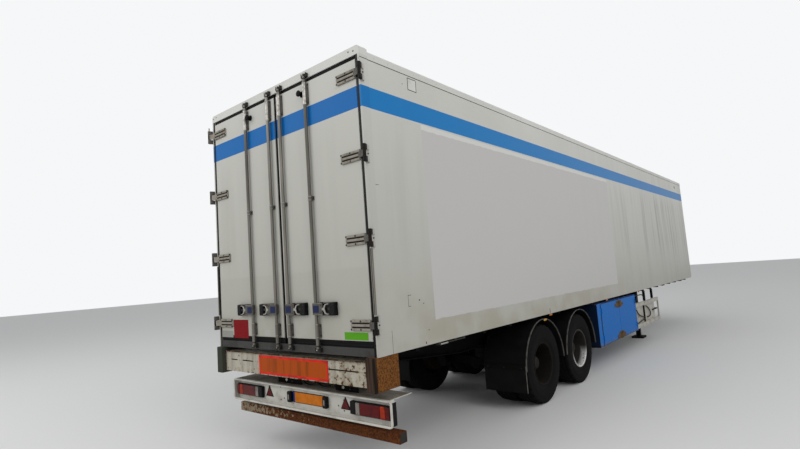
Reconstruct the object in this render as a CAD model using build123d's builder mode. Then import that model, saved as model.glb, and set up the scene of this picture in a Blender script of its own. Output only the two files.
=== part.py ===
# Insulated box semi trailer on two twin-wheel axles, millimetres.
# X points to the trailer's right, Y forward, Z up. The origin is on the ground, at the middle
# of the overall length and width. Lengthwise places are given from the rear door face by aft().
# Round pieces that repeat are drawn with flats, which keeps the packed mesh light.
from build123d import *
import os

os.makedirs("parts", exist_ok=True)

# Overall body
body_width = 2600
body_length = 13400
body_height = 4000
body_clearance = 125
portal_rise = 30
portal_depth = 110
portal_post_width = 48
header_height = 85
sill_height = 75
roof_rail_height = 85
roof_corner = 22
cap_overhang = 4
wall_thickness = 60
front_wall_thickness = 60
floor_thickness = 135

# Rear doors and their rubbers
door_thickness = 80
door_side_gap = 7
door_top_gap = 40
door_centre_x = 20
door_edge_chamfer = 3
seal_gap = 3
seal_centre_x = 8
seal_depth = 52
seal_setback = 8
door_buffer_radius = 32
door_buffer_depth = 58
door_buffer_drop = 110
door_buffer_flats = 8

# Door hinges: a strap on the door, a bracket on the post and a pin between them
hinge_count = 4
hinge_end_gap = 140
hinge_axis_side = 26
hinge_axis_out = 35
hinge_pin_radius = 8
hinge_pin_clearance = 1
hinge_pin_flats = 6
knuckle_radius = 16
knuckle_length = 60
knuckle_gap = 1
knuckle_flats = 8
bracket_length = 160
bracket_thickness = 8
bracket_setback = 6
bracket_depth = 42
strap_length = 255
strap_height = 100
strap_corner = 14
strap_thickness = 10
strap_rib = 6
strap_rib_height = 18
strap_rib_pitch = 34
strap_arm_root = 50

# Lock gear: two bars a door with a claw at each end, three guides, a lever and its box
lock_bar_places = (105, 538)
lock_bar_radius = 17
lock_bar_flats = 8
lock_bar_out = 28
lock_bar_overlap = 50
guide_half_width = 22
guide_foot_half_width = 36
guide_foot = 8
guide_wall = 4
lower_guide_height = 135
middle_guide_height = 50
middle_guide_rise = 88
upper_guide_height = 230
guide_end_gap = 15
claw_height = 24
claw_half_width = 26
claw_prong = 15
claw_throat = 17
keeper_height = 44
keeper_wall = 6
keeper_depth = 34
keeper_clearance = 5
handle_rise = 292
handle_hub_radius = 24
handle_hub_height = 60
handle_lever_out = 52
handle_lever_thickness = 14
handle_lever_height = 32
handle_lever_shoulder = 26
handle_lever_tip = 16
handle_box_height = 125
handle_box_length = 240
handle_box_offset = 40
handle_box_depth = 34
handle_box_edge = 8
handle_slot_depth = 24
handle_slot_height = 48
handle_catch_place = 180
handle_catch_width = 48
handle_catch_height = 24

# Cooling unit on the front wall
cooler_width = 2060
cooler_depth = 480
cooler_height = 2220
cooler_drop = 70
cooler_edge = 60
grille_depth = 12
grille_margin = 160
grille_slats = 6
grille_bar = 60
grille_height = 1150
grille_drop = 300

# Wheels, axles and mudguards
axle_places = (3320, 4630)
wheel_radius = 525
wheel_flats = 28
tyre_centres = (795, 1105)
tyre_half_width = 140
tyre_shoulder_rise = 62
tyre_shoulder_width = 24
tyre_seat_gap = 0.5
rim_radius = 286
rim_wall = 24
rim_lip = 14
bead_half_width = 110
hub_face_x = 945
disc_thickness = 30
hub_radius = 120
hub_reach = 155
hub_cap_edge = 45
hub_cap_length = 124
hub_flats = 12
drum_inner_x = 600
drum_radius = 205
spindle_radius = 50
spindle_gap = 0.8
spindle_depth = 330
spindle_flats = 12
axle_square = 120
axle_drum_gap = 14
mudguard_gap = 75
mudguard_sheet = 6
mudguard_flats = 16
mudguard_inner_x = 650
mudguard_side_gap = 20
mudguard_stay = 50
flap_sheet = 12
flap_bottom_z = 260

# Chassis
rail_x = 500
rail_flange_width = 140
rail_flange = 12
rail_web = 8
rail_rear = 330
rail_front_setback = 250
rail_height = 375
rail_tail_height = 245
rail_taper_from = 900
rail_taper_to = 2300
neck_height = 78
neck_behind_pin = 2050
neck_slope = 600
member_pitch = 620
first_member = 620
tail_member_count = 4
member_root_depth = 115
member_edge_depth = 42
member_flange = 60
outrigger_taper = 120
kingpin_from_front = 1600
coupling_behind_pin = 850
coupling_before_pin = 1350
coupling_half_width = 560
coupling_thickness = 12
coupling_ramp = 120
coupling_ramp_rise = 40
kingpin_head_radius = 35.5
kingpin_neck_radius = 25.4
kingpin_collar_radius = 36.5
kingpin_collar_length = 35
kingpin_neck_length = 35
kingpin_head_length = 14
kingpin_flange_radius = 90
kingpin_hole_gap = 0.8
kingpin_flats = 12

# Suspension: trailing arm from a hanger to an air spring, one each side of an axle
arm_width = 100
arm_depth = 60
arm_eye_rise = 10
arm_seat_drop = 12
arm_seat_depth = 23
arm_rear_reach = 440
arm_eye_reach = 450
arm_eye_radius = 50
arm_drop_reach = 240
arm_rise_reach = 120
arm_eye_flats = 8
arm_bolt_radius = 22
arm_bolt_flats = 6
hanger_plate = 12
hanger_top_span = (-100, 160)
hanger_foot_span = (-50, 80)
hanger_foot_drop = 60
hanger_gap = 2
air_spring_reach = 340
air_spring_radius = 125
air_spring_piston_radius = 85
air_spring_piston_height = 75
air_spring_flats = 10
brake_chamber_x = 300
brake_chamber_radius = 82
brake_chamber_length = 150
brake_chamber_gap = 60
brake_bracket_width = 40
brake_bracket_height = 60
brake_chamber_flats = 8

# Landing legs and their crank
leg_behind_pin = 2450
leg_x = 800
leg_square = 115
leg_inner_square = 92
leg_top_gap = 75
leg_outer_bottom_z = 420
foot_length = 260
foot_height = 45
foot_bevel = 20
leg_bracket_height = 100
leg_bracket_length = 90
leg_bracket_rise = 50
leg_shaft_drop = 30
leg_shaft_radius = 20
gearbox_width = 70
gearbox_height = 170
gearbox_drop = 57
crank_setback = 70
crank_z = 690
crank_radius = 13
crank_length = 360

# Locker under the right side, and the side guards
locker_from = 5420
locker_to = 7650
locker_seam = 6600
locker_strip = 200
locker_hanger_inset = 40
locker_hanger_width = 160
locker_front_strip = 45
locker_bottom_z = 400
locker_top_gap = 55
locker_inner_x = 700
locker_face_x = 1268
locker_sheet = 5
locker_door_sheet = 12
locker_door_gap = 0.5
locker_door_edge = 12
locker_gap = 6
locker_leaf = 3
locker_leaf_width = 60
locker_body_leaf_width = 38
locker_hinge_end_gap = 130
locker_knuckle_radius = 8
locker_knuckle_length = 50
locker_pin_radius = 4
locker_pin_clearance = 1.2
guard_outer_x = 1285
guard_rail_depth = 30
guard_rail_height = 80
guard_post_depth = 45
guard_post_length = 50
guard_sheet = 5
guard_past_leg = 75
guard_panel_setback = 300
guard_gap = 15
guard_top_z = 930
guard_bottom_z = 425

# Rear beam, light carrier and underrun bar
beam_top_gap = 50
beam_height = 220
beam_half_width = 1180
beam_depth = 270
beam_sheet = 6
beam_web = 12
beam_lip = 14
beam_slot_height = 12
beam_slot_rise = 131
beam_slots = ((-1000, 130), (-730, 200), (820, 370), (1140, 60))
end_post_out = 50
end_post_inset = 10
end_post_drop = 25
marker_width = 1130
marker_height = 197
marker_offset_x = 70
marker_sheet = 5
carrier_half_width = 1275
carrier_rim = 140
carrier_depth = 65
carrier_gap = 130
carrier_height = 240
carrier_corner = 30
carrier_sheet = 6
carrier_shelf = 265
lamp_length = 520
lamp_height = 130
lamp_depth = 45
lamp_corner = 25
reflector_x = 625
reflector_radius = 80
reflector_depth = 8
plate_offset_x = 60
plate_width = 520
plate_height = 116
plate_thickness = 6
plate_lamp_width = 60
underrun_place = 230
underrun_size = 100
underrun_bottom_z = 380
underrun_bracket = 12

# Tanks, side marker lamps and the connection panel
air_tank_x = 230
air_tank_radius = 115
air_tank_drop = 25
air_tank_overhang = 120
air_tank_strap_lap = 12
air_tank_flats = 12
fuel_tank_behind_leg = 650
fuel_tank_length = 1000
fuel_tank_width = 440
fuel_tank_height = 440
fuel_tank_inner_x = 740
fuel_tank_drop = 175
fuel_tank_edge = 70
fuel_bracket_inset = 200
fuel_bracket_drop = 110
fuel_bracket_size = 60
side_marker_places = (3544, 5923, 7925)
side_marker_length = 100
side_marker_height = 30
side_marker_out = 2
last_marker_setback = 1120
panel_half_width = 380
panel_depth = 40
panel_height = 160
panel_rise = 65
coupling_heads = (-250, -90, 90, 250)
coupling_head_radius = 35
coupling_head_reach = 60
coupling_head_flats = 8

# Worked-out places of the body
half_width = body_width / 2
wall_outer_x = half_width - cap_overhang
wall_inner_x = wall_outer_x - wall_thickness
post_inner_x = half_width - portal_post_width
roof_top_z = body_height - portal_rise
roof_seam_z = roof_top_z - roof_rail_height
header_z = body_height - header_height
underside_z = 2 * wheel_radius + body_clearance
sill_top_z = underside_z + sill_height
floor_top_z = underside_z + floor_thickness
front_wall_place = body_length - front_wall_thickness
rear_reach = door_buffer_depth
overall_length = rear_reach + body_length + cooler_depth
rear_face_y = rear_reach - overall_length / 2
sides = (("left", -1), ("right", 1))


def aft(distance):
    """Y of a place that lies the given distance forward of the rear door face."""
    return rear_face_y + distance


def block(x, y, z, mode=Mode.ADD):
    """Adds a rectangular block between pairs of coordinates, Y given from the rear face."""
    middle = (sum(x) / 2, aft(sum(y) / 2), sum(z) / 2)
    with Locations(middle):
        Box(abs(x[1] - x[0]), abs(y[1] - y[0]), abs(z[1] - z[0]), mode=mode)


def span(middle, length):
    """Pair of ends of a length centred on a place."""
    return (middle - length / 2, middle + length / 2)


def outline(*points):
    """Filled outline through the points, in the sketch's own coordinates."""
    Polygon(*points, align=None)


def flat_round(radius, count, mode=Mode.ADD):
    """Round outline of flats that touch the circle from outside, one of them at the bottom."""
    RegularPolygon(radius, count, major_radius=False, rotation=180 / count, mode=mode)


def side_plane(x):
    """Sketch plane across X: local x is forward from the rear face, local y is height."""
    return Plane(origin=(x, rear_face_y, 0), x_dir=(0, 1, 0), z_dir=(1, 0, 0))


def rear_plane(distance):
    """Sketch plane across Y: local x is the trailer's right, local y is height, normal aft."""
    return Plane(origin=(0, aft(distance), 0), x_dir=(1, 0, 0), z_dir=(0, -1, 0))


def plan_plane(z):
    """Sketch plane across Z: local x is the trailer's right, local y forward of the rear face."""
    return Plane(origin=(0, rear_face_y, z), x_dir=(1, 0, 0), z_dir=(0, 0, 1))


def save(piece, name):
    """Labels a finished piece and writes its file."""
    piece.part.label = name
    export_step(piece.part, f"parts/{name}.step")


# Box: side walls, roof with its rails, floor and front wall
for side, sign in sides:
    with BuildPart() as side_wall:
        block((sign * wall_inner_x, sign * wall_outer_x), (portal_depth, front_wall_place),
              (underside_z, roof_seam_z))
    save(side_wall, f"side_wall_{side}")

with BuildPart() as roof:
    block((-half_width, half_width), (portal_depth, body_length), (roof_seam_z, roof_top_z))
    chamfer(roof.edges().filter_by(Axis.Y).group_by(Axis.Z)[-1], roof_corner)
save(roof, "roof")

with BuildPart() as floor:
    block((-wall_inner_x, wall_inner_x), (portal_depth, front_wall_place), (underside_z, floor_top_z))
save(floor, "floor")

with BuildPart() as front_wall:
    block((-wall_outer_x, wall_outer_x), (front_wall_place, body_length), (underside_z, roof_seam_z))
save(front_wall, "front_wall")

# Rear portal: two posts, the header across them and the sill between them
with BuildPart() as rear_corner_posts:
    for side, sign in sides:
        block((sign * post_inner_x, sign * half_width), (0, portal_depth), (underside_z, header_z))
save(rear_corner_posts, "rear_corner_posts")

with BuildPart() as rear_header:
    block((-half_width, half_width), (0, portal_depth), (header_z, body_height))
    chamfer(rear_header.edges().filter_by(Axis.Y).group_by(Axis.Z)[-1], roof_corner)
save(rear_header, "rear_header")

with BuildPart() as rear_sill:
    block((-post_inner_x, post_inner_x), (0, portal_depth), (underside_z, sill_top_z))
save(rear_sill, "rear_sill")

# Rear doors: each leaf is a panel within a rubber frame, with a rubber buffer near its top
door_edge_x = post_inner_x - door_side_gap
door_bottom_z = floor_top_z
door_top_z = header_z - door_top_gap
buffer_x = lock_bar_places[1] - guide_foot_half_width - door_buffer_radius - seal_gap
for side, sign in sides:
    with BuildPart() as door_panel:
        block((sign * door_centre_x, sign * door_edge_x), (0, door_thickness), (door_bottom_z, door_top_z))
        chamfer(door_panel.faces().sort_by(Axis.Y)[0].edges(), door_edge_chamfer)
    save(door_panel, f"rear_door_panel_{side}")

    seal_span = (seal_setback, seal_setback + seal_depth)
    with BuildPart() as door_rubbers:
        block((sign * seal_centre_x, sign * (post_inner_x - seal_gap)), seal_span,
              (sill_top_z + seal_gap, header_z - seal_gap))
        block((sign * door_centre_x, sign * door_edge_x), seal_span, (door_bottom_z, door_top_z),
              mode=Mode.SUBTRACT)
        with BuildSketch(rear_plane(0)):
            with Locations((sign * buffer_x, door_top_z - door_buffer_drop)):
                flat_round(door_buffer_radius, door_buffer_flats)
        extrude(amount=door_buffer_depth)
    save(door_rubbers, f"rear_door_rubbers_{side}")

# Hinge straps: a ribbed plate on the door, narrowed to an arm that reaches round the post
hinge_axis_x = half_width + hinge_axis_side
hinge_low_z = door_bottom_z + hinge_end_gap
hinge_pitch = (door_top_z - hinge_end_gap - hinge_low_z) / (hinge_count - 1)
hinge_heights = [hinge_low_z + step * hinge_pitch for step in range(hinge_count)]
strap_inner_x = door_edge_x - strap_length
strap_out = strap_thickness + strap_rib
for side, sign in sides:
    axis_place = (sign * hinge_axis_x, -hinge_axis_out)
    with BuildPart() as hinge_straps:
        for hinge_z in hinge_heights:
            low, high = span(hinge_z, strap_height)
            with BuildSketch(rear_plane(0)):
                outline((sign * door_edge_x, low), (sign * (strap_inner_x + strap_corner), low),
                        (sign * strap_inner_x, low + strap_corner),
                        (sign * strap_inner_x, high - strap_corner),
                        (sign * (strap_inner_x + strap_corner), high), (sign * door_edge_x, high))
            extrude(amount=strap_thickness)
            for rib_z in (hinge_z - strap_rib_pitch, hinge_z, hinge_z + strap_rib_pitch):
                block((sign * (strap_inner_x + strap_corner), sign * (door_edge_x - strap_rib)),
                      (-strap_out, -strap_thickness), span(rib_z, strap_rib_height))
            with BuildSketch(plan_plane(hinge_z - knuckle_length / 2)):
                outline((sign * (door_edge_x - strap_arm_root), 0), (sign * door_edge_x, 0),
                        (sign * (hinge_axis_x - knuckle_radius / 2), knuckle_radius / 2 - hinge_axis_out),
                        (sign * (hinge_axis_x - knuckle_radius / 2), -knuckle_radius / 2 - hinge_axis_out),
                        (sign * door_edge_x, -strap_out),
                        (sign * (door_edge_x - strap_arm_root), -strap_out))
                with Locations(axis_place):
                    RegularPolygon(knuckle_radius, knuckle_flats)
                    flat_round(hinge_pin_radius + hinge_pin_clearance, hinge_pin_flats, Mode.SUBTRACT)
            extrude(amount=knuckle_length)
    save(hinge_straps, f"door_hinge_straps_{side}")

# Hinge brackets on the outer face of the posts: a plate, two lugs with knuckles, and the pin
lug_from = knuckle_length / 2 + knuckle_gap
bracket_outer_x = half_width + bracket_thickness
with BuildPart() as hinge_brackets:
    for side, sign in sides:
        axis_place = (sign * hinge_axis_x, -hinge_axis_out)
        for hinge_z in hinge_heights:
            bracket_span = span(hinge_z, bracket_length)
            block((sign * half_width, sign * bracket_outer_x),
                  (bracket_setback, bracket_setback + bracket_depth), bracket_span)
            for lug_z in (hinge_z + lug_from, bracket_span[0]):
                with BuildSketch(plan_plane(lug_z)):
                    outline((sign * half_width, bracket_setback),
                            (sign * half_width, bracket_depth),
                            (sign * (bracket_outer_x + bracket_setback), bracket_depth),
                            (sign * (hinge_axis_x + knuckle_radius), -hinge_axis_out),
                            (sign * (hinge_axis_x + knuckle_radius / 2), -knuckle_radius - hinge_axis_out),
                            (sign * (hinge_axis_x - knuckle_radius / 2), -knuckle_radius - hinge_axis_out),
                            (sign * (hinge_axis_x - knuckle_radius), -hinge_axis_out))
                extrude(amount=bracket_length / 2 - lug_from)
            with BuildSketch(plan_plane(bracket_span[0])):
                with Locations(axis_place):
                    RegularPolygon(hinge_pin_radius, hinge_pin_flats)
            extrude(amount=bracket_length)
save(hinge_brackets, "door_hinge_brackets")

# Lock bars: each turns in three guides on the door, with a claw at both ends and a lever
bar_bottom_z = sill_top_z - lock_bar_overlap
bar_top_z = body_height - lock_bar_overlap
lower_guide_z = door_bottom_z + guide_end_gap
middle_guide_z = (door_bottom_z + door_top_z) / 2 + middle_guide_rise - middle_guide_height / 2
upper_guide_z = door_top_z - guide_end_gap - upper_guide_height
guides = ((lower_guide_z, lower_guide_height), (middle_guide_z, middle_guide_height),
          (upper_guide_z, upper_guide_height))
claw_places = (bar_bottom_z, bar_top_z - claw_height)
handle_z = door_bottom_z + handle_rise
guide_out = lock_bar_out + lock_bar_radius + guide_wall
keeper_floor = keeper_wall + keeper_clearance
handle_slot_floor = handle_slot_depth - handle_box_depth
for side, sign in sides:
    with BuildPart() as lock_bars:
        for bar_x in lock_bar_places:
            with BuildSketch(plan_plane(bar_bottom_z + claw_height)):
                with Locations((sign * bar_x, -lock_bar_out)):
                    RegularPolygon(lock_bar_radius, lock_bar_flats)
            extrude(amount=bar_top_z - bar_bottom_z - 2 * claw_height)
            for guide_z, guide_height in guides:
                with BuildSketch(plan_plane(guide_z)):
                    with Locations((sign * bar_x, 0)):
                        outline((-guide_foot_half_width, 0), (-guide_foot_half_width, -guide_foot),
                                (-guide_half_width, -lock_bar_out), (-guide_half_width / 2, -guide_out),
                                (guide_half_width / 2, -guide_out), (guide_half_width, -lock_bar_out),
                                (guide_foot_half_width, -guide_foot), (guide_foot_half_width, 0))
                extrude(amount=guide_height)
            for claw_z in claw_places:
                claw_back = lock_bar_out + lock_bar_radius
                with BuildSketch(plan_plane(claw_z)):
                    with Locations((sign * bar_x, 0)):
                        outline((-claw_prong, -claw_back), (claw_prong, -claw_back),
                                (claw_half_width, -lock_bar_out), (claw_half_width, -keeper_floor),
                                (claw_half_width - claw_prong, -keeper_floor),
                                (claw_half_width - claw_prong, -keeper_floor - claw_throat),
                                (claw_prong - claw_half_width, -keeper_floor - claw_throat),
                                (claw_prong - claw_half_width, -keeper_floor),
                                (-claw_half_width, -keeper_floor), (-claw_half_width, -lock_bar_out))
                extrude(amount=claw_height)
            with BuildSketch(plan_plane(handle_z - handle_hub_height / 2)):
                with Locations((sign * bar_x, -lock_bar_out)):
                    RegularPolygon(handle_hub_radius, lock_bar_flats)
            extrude(amount=handle_hub_height)
            box_end = handle_box_offset + handle_box_length
            lever_root = handle_z - handle_lever_height / 2
            with BuildSketch(rear_plane(handle_lever_thickness - handle_lever_out)):
                outline((sign * bar_x, lever_root), (sign * bar_x, lever_root + handle_lever_height),
                        (sign * (bar_x + handle_box_offset), handle_z + handle_lever_shoulder / 2),
                        (sign * (bar_x + box_end), handle_z + handle_lever_tip / 2),
                        (sign * (bar_x + box_end), handle_z - handle_lever_tip / 2),
                        (sign * (bar_x + handle_box_offset), handle_z - handle_lever_shoulder / 2))
            extrude(amount=handle_lever_thickness)
    save(lock_bars, f"lock_bars_{side}")

    with BuildPart() as handle_boxes:
        for bar_x in lock_bar_places:
            box_from = bar_x + handle_box_offset
            box_middle = sign * (box_from + handle_box_length / 2)
            block(span(box_middle, handle_box_length), (-handle_box_depth, 0),
                  span(handle_z, handle_box_height))
        chamfer(handle_boxes.faces().filter_by(Axis.Y).group_by(Axis.Y)[0].edges(), handle_box_edge)
        for bar_x in lock_bar_places:
            box_from = bar_x + handle_box_offset
            box_middle = sign * (box_from + handle_box_length / 2)
            block(span(box_middle, handle_box_length), (-handle_box_depth, handle_slot_floor),
                  span(handle_z, handle_slot_height), mode=Mode.SUBTRACT)
            block(span(sign * (box_from + handle_catch_place), handle_catch_width),
                  (handle_lever_thickness - handle_lever_out, handle_slot_floor),
                  span(handle_z, handle_catch_height))
    save(handle_boxes, f"handle_boxes_{side}")

# Keepers on header and sill: an open bracket with a lug that stands between the claw's prongs,
# clear of the end of the tube
ear_inner = claw_half_width + keeper_clearance
ear_outer = ear_inner + keeper_wall
lug_half_width = claw_half_width - claw_prong - keeper_clearance
lug_out = keeper_floor + claw_throat - keeper_clearance
with BuildPart() as lock_keepers:
    for side, sign in sides:
        for bar_x in lock_bar_places:
            for claw_z in claw_places:
                with BuildSketch(plan_plane(claw_z + (claw_height - keeper_height) / 2)):
                    with Locations((sign * bar_x, 0)):
                        outline((-ear_outer, 0), (-ear_outer, -keeper_depth), (-ear_inner, -keeper_depth),
                                (-ear_inner, -keeper_wall), (ear_inner, -keeper_wall),
                                (ear_inner, -keeper_depth), (ear_outer, -keeper_depth), (ear_outer, 0))
                extrude(amount=keeper_height)
                block(span(sign * bar_x, 2 * lug_half_width), (-lug_out, -keeper_wall),
                      span(claw_z + claw_height / 2, claw_height - 2 * keeper_clearance))
save(lock_keepers, "lock_keepers")

# Cooling unit on the front wall, with its grille
cooler_top_z = roof_top_z - cooler_drop
cooler_front = body_length + cooler_depth - grille_depth
with BuildPart() as cooling_unit:
    block((-cooler_width / 2, cooler_width / 2), (body_length, cooler_front),
          (cooler_top_z - cooler_height, cooler_top_z))
    chamfer(cooling_unit.faces().sort_by(Axis.Y)[-1].edges(), cooler_edge)
save(cooling_unit, "cooling_unit")

grille_half_width = cooler_width / 2 - grille_margin
grille_top_z = cooler_top_z - grille_drop
grille_pitch = (grille_height - grille_bar) / (grille_slats - 1)
with BuildPart() as cooling_unit_grille:
    for level in range(grille_slats):
        slat_z = grille_top_z - level * grille_pitch
        block((-grille_half_width, grille_half_width), (cooler_front, cooler_front + grille_depth),
              (slat_z - grille_bar, slat_z))
    for post_x in (-grille_half_width, 0, grille_half_width):
        block(span(post_x, grille_bar), (cooler_front, cooler_front + grille_depth),
              (grille_top_z - grille_height, grille_top_z))
save(cooling_unit_grille, "cooling_unit_grille")

# Two main rails: a deep welded I section that tapers at the tail and steps up to the neck
kingpin_place = body_length - kingpin_from_front
rail_front = body_length - rail_front_setback
neck_start = kingpin_place - neck_behind_pin
neck_bottom_z = underside_z - neck_height
rail_deep_z = underside_z - rail_height
rail_tail_z = underside_z - rail_tail_height
web_top_z = underside_z - rail_flange
lower_edge = [(rail_rear, rail_tail_z), (rail_taper_from, rail_tail_z),
              (rail_taper_to, rail_deep_z), (neck_start, rail_deep_z),
              (neck_start + neck_slope, neck_bottom_z), (rail_front, neck_bottom_z)]
upper_flange_edge = [(place, z + rail_flange) for place, z in reversed(lower_edge)]
with BuildPart() as main_rails:
    for side, sign in sides:
        with BuildSketch(side_plane(sign * rail_x - rail_web / 2)):
            outline((rail_rear, web_top_z), *lower_edge, (rail_front, web_top_z))
        extrude(amount=rail_web)
        block(span(sign * rail_x, rail_flange_width), (rail_rear, rail_front), (web_top_z, underside_z))
        with BuildSketch(side_plane(sign * rail_x - rail_flange_width / 2)):
            outline(*lower_edge, *upper_flange_edge)
        extrude(amount=rail_flange_width)
save(main_rails, "main_rails")

# Cross members: a channel between the rails and a tapering outrigger each side. None stands
# where the tyres of an axle come up, apart from one between the two axles.
rail_edge_x = rail_x + rail_flange_width / 2
outrigger_root_x = rail_x + rail_web / 2
outrigger_underside_z = underside_z - member_edge_depth
member_root_z = underside_z - member_root_depth
tail_members = [first_member + step * member_pitch for step in range(tail_member_count)]
front_member_count = int((rail_front - locker_from - member_flange) / member_pitch) + 1
front_members = [locker_from + step * member_pitch for step in range(front_member_count)]
member_places = tail_members + [sum(axle_places) / 2] + front_members
with BuildPart() as cross_members:
    for place in member_places:
        on_neck = place > neck_start
        root_z = neck_bottom_z + rail_flange if on_neck else member_root_z
        if not on_neck:
            block((-outrigger_root_x + rail_web, outrigger_root_x - rail_web),
                  span(place, member_flange), (root_z, web_top_z))
        for side, sign in sides:
            with BuildSketch(rear_plane(place - member_flange / 2)):
                outline((sign * outrigger_root_x, web_top_z), (sign * rail_edge_x, web_top_z),
                        (sign * rail_edge_x, underside_z), (sign * wall_inner_x, underside_z),
                        (sign * wall_inner_x, outrigger_underside_z),
                        (sign * (rail_edge_x + outrigger_taper), outrigger_underside_z),
                        (sign * outrigger_root_x, root_z))
            extrude(amount=-member_flange)
save(cross_members, "cross_members")

# Coupling plate under the neck, its front edge bent up. The kingpin hangs through it by a flange.
coupling_bottom_z = neck_bottom_z - coupling_thickness
coupling_from = kingpin_place - coupling_behind_pin
coupling_to = kingpin_place + coupling_before_pin
ramp_z = coupling_bottom_z + coupling_ramp_rise
with BuildPart() as coupling_plate:
    with BuildSketch(side_plane(-coupling_half_width)):
        outline((coupling_from, coupling_bottom_z), (coupling_to, coupling_bottom_z),
                (coupling_to + coupling_ramp, ramp_z),
                (coupling_to + coupling_ramp, ramp_z + coupling_thickness),
                (coupling_to, neck_bottom_z), (coupling_from, neck_bottom_z))
    extrude(amount=2 * coupling_half_width)
    with BuildSketch(plan_plane(coupling_bottom_z)):
        with Locations((0, kingpin_place)):
            flat_round(kingpin_collar_radius + kingpin_hole_gap, kingpin_flats)
    extrude(amount=coupling_thickness, mode=Mode.SUBTRACT)
save(coupling_plate, "coupling_plate")

collar_z = coupling_bottom_z - kingpin_collar_length
neck_z = collar_z - kingpin_neck_length
kingpin_steps = ((kingpin_flange_radius, neck_bottom_z + coupling_thickness, neck_bottom_z),
                 (kingpin_collar_radius, neck_bottom_z, collar_z),
                 (kingpin_neck_radius, collar_z, neck_z))
with BuildPart() as kingpin:
    for radius, top_z, bottom_z in kingpin_steps:
        with BuildSketch(plan_plane(bottom_z)):
            with Locations((0, kingpin_place)):
                RegularPolygon(radius, kingpin_flats)
        extrude(amount=top_z - bottom_z)
    with BuildSketch(plan_plane(neck_z - kingpin_head_length)):
        with Locations((0, kingpin_place)):
            Circle(kingpin_head_radius)
    extrude(amount=kingpin_head_length)
save(kingpin, "kingpin")

# Axle beams with the spindles that carry the hubs, and two brake chambers behind each beam
spindle_pocket_x = drum_inner_x + spindle_depth
beam_half_length = drum_inner_x - axle_drum_gap
with BuildPart() as axles:
    for place in axle_places:
        block((-beam_half_length, beam_half_length), span(place, axle_square),
              span(wheel_radius, axle_square))
        with BuildSketch(side_plane(spindle_gap - spindle_pocket_x)):
            with Locations((place, wheel_radius)):
                RegularPolygon(spindle_radius, spindle_flats)
        extrude(amount=2 * (spindle_pocket_x - spindle_gap))
        beam_back = place - axle_square / 2
        for side, sign in sides:
            with BuildSketch(rear_plane(beam_back - brake_chamber_gap)):
                with Locations((sign * brake_chamber_x, wheel_radius)):
                    flat_round(brake_chamber_radius, brake_chamber_flats)
            extrude(amount=brake_chamber_length)
            block(span(sign * brake_chamber_x, brake_bracket_width),
                  (beam_back - brake_chamber_gap, beam_back), span(wheel_radius, brake_bracket_height))
save(axles, "axles")

# Suspension: hanger plates under the rail, and a trailing arm that lies over the axle
arm_low_z = wheel_radius + axle_square / 2
arm_top_z = arm_low_z + arm_depth
arm_eye_z = arm_low_z + arm_eye_rise
spring_seat_z = arm_low_z - arm_seat_drop
arm_seat_low_z = spring_seat_z - arm_seat_depth
with BuildPart() as suspension_arms:
    for place in axle_places:
        arm_from, arm_to = place - arm_rear_reach, place + arm_rear_reach
        for side, sign in sides:
            with BuildSketch(side_plane(sign * rail_x - arm_width / 2)):
                outline((arm_from, arm_seat_low_z), (place - arm_drop_reach, arm_seat_low_z),
                        (place - arm_rise_reach, arm_low_z), (arm_to, arm_low_z),
                        (arm_to, arm_eye_z + arm_eye_radius / 2), (place - arm_rise_reach, arm_top_z),
                        (place - arm_drop_reach, spring_seat_z), (arm_from, spring_seat_z))
                with Locations((place + arm_eye_reach, arm_eye_z)):
                    flat_round(arm_eye_radius, arm_eye_flats)
            extrude(amount=arm_width)
            plate_inner = arm_width / 2 + hanger_gap
            for plate_x in (-plate_inner - hanger_plate, plate_inner):
                with BuildSketch(side_plane(sign * rail_x + plate_x)):
                    outline((arm_to + hanger_top_span[0], rail_deep_z),
                            (arm_to + hanger_top_span[1], rail_deep_z),
                            (arm_to + hanger_foot_span[1], arm_eye_z - hanger_foot_drop),
                            (arm_to + hanger_foot_span[0], arm_eye_z - hanger_foot_drop))
                extrude(amount=hanger_plate)
            bolt_half_length = plate_inner + 2 * hanger_plate
            with BuildSketch(side_plane(sign * rail_x - bolt_half_length)):
                with Locations((place + arm_eye_reach, arm_eye_z)):
                    flat_round(arm_bolt_radius, arm_bolt_flats)
            extrude(amount=2 * bolt_half_length)
save(suspension_arms, "suspension_arms")

bellows_z = spring_seat_z + air_spring_piston_height
with BuildPart() as air_bags:
    for place in axle_places:
        for side, sign in sides:
            spring_place = (sign * rail_x, place - air_spring_reach)
            with BuildSketch(plan_plane(spring_seat_z)):
                with Locations(spring_place):
                    flat_round(air_spring_piston_radius, air_spring_flats)
            extrude(amount=air_spring_piston_height)
            with BuildSketch(plan_plane(bellows_z)):
                with Locations(spring_place):
                    flat_round(air_spring_radius, air_spring_flats)
            extrude(amount=rail_deep_z - bellows_z)
save(air_bags, "air_bags")

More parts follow.
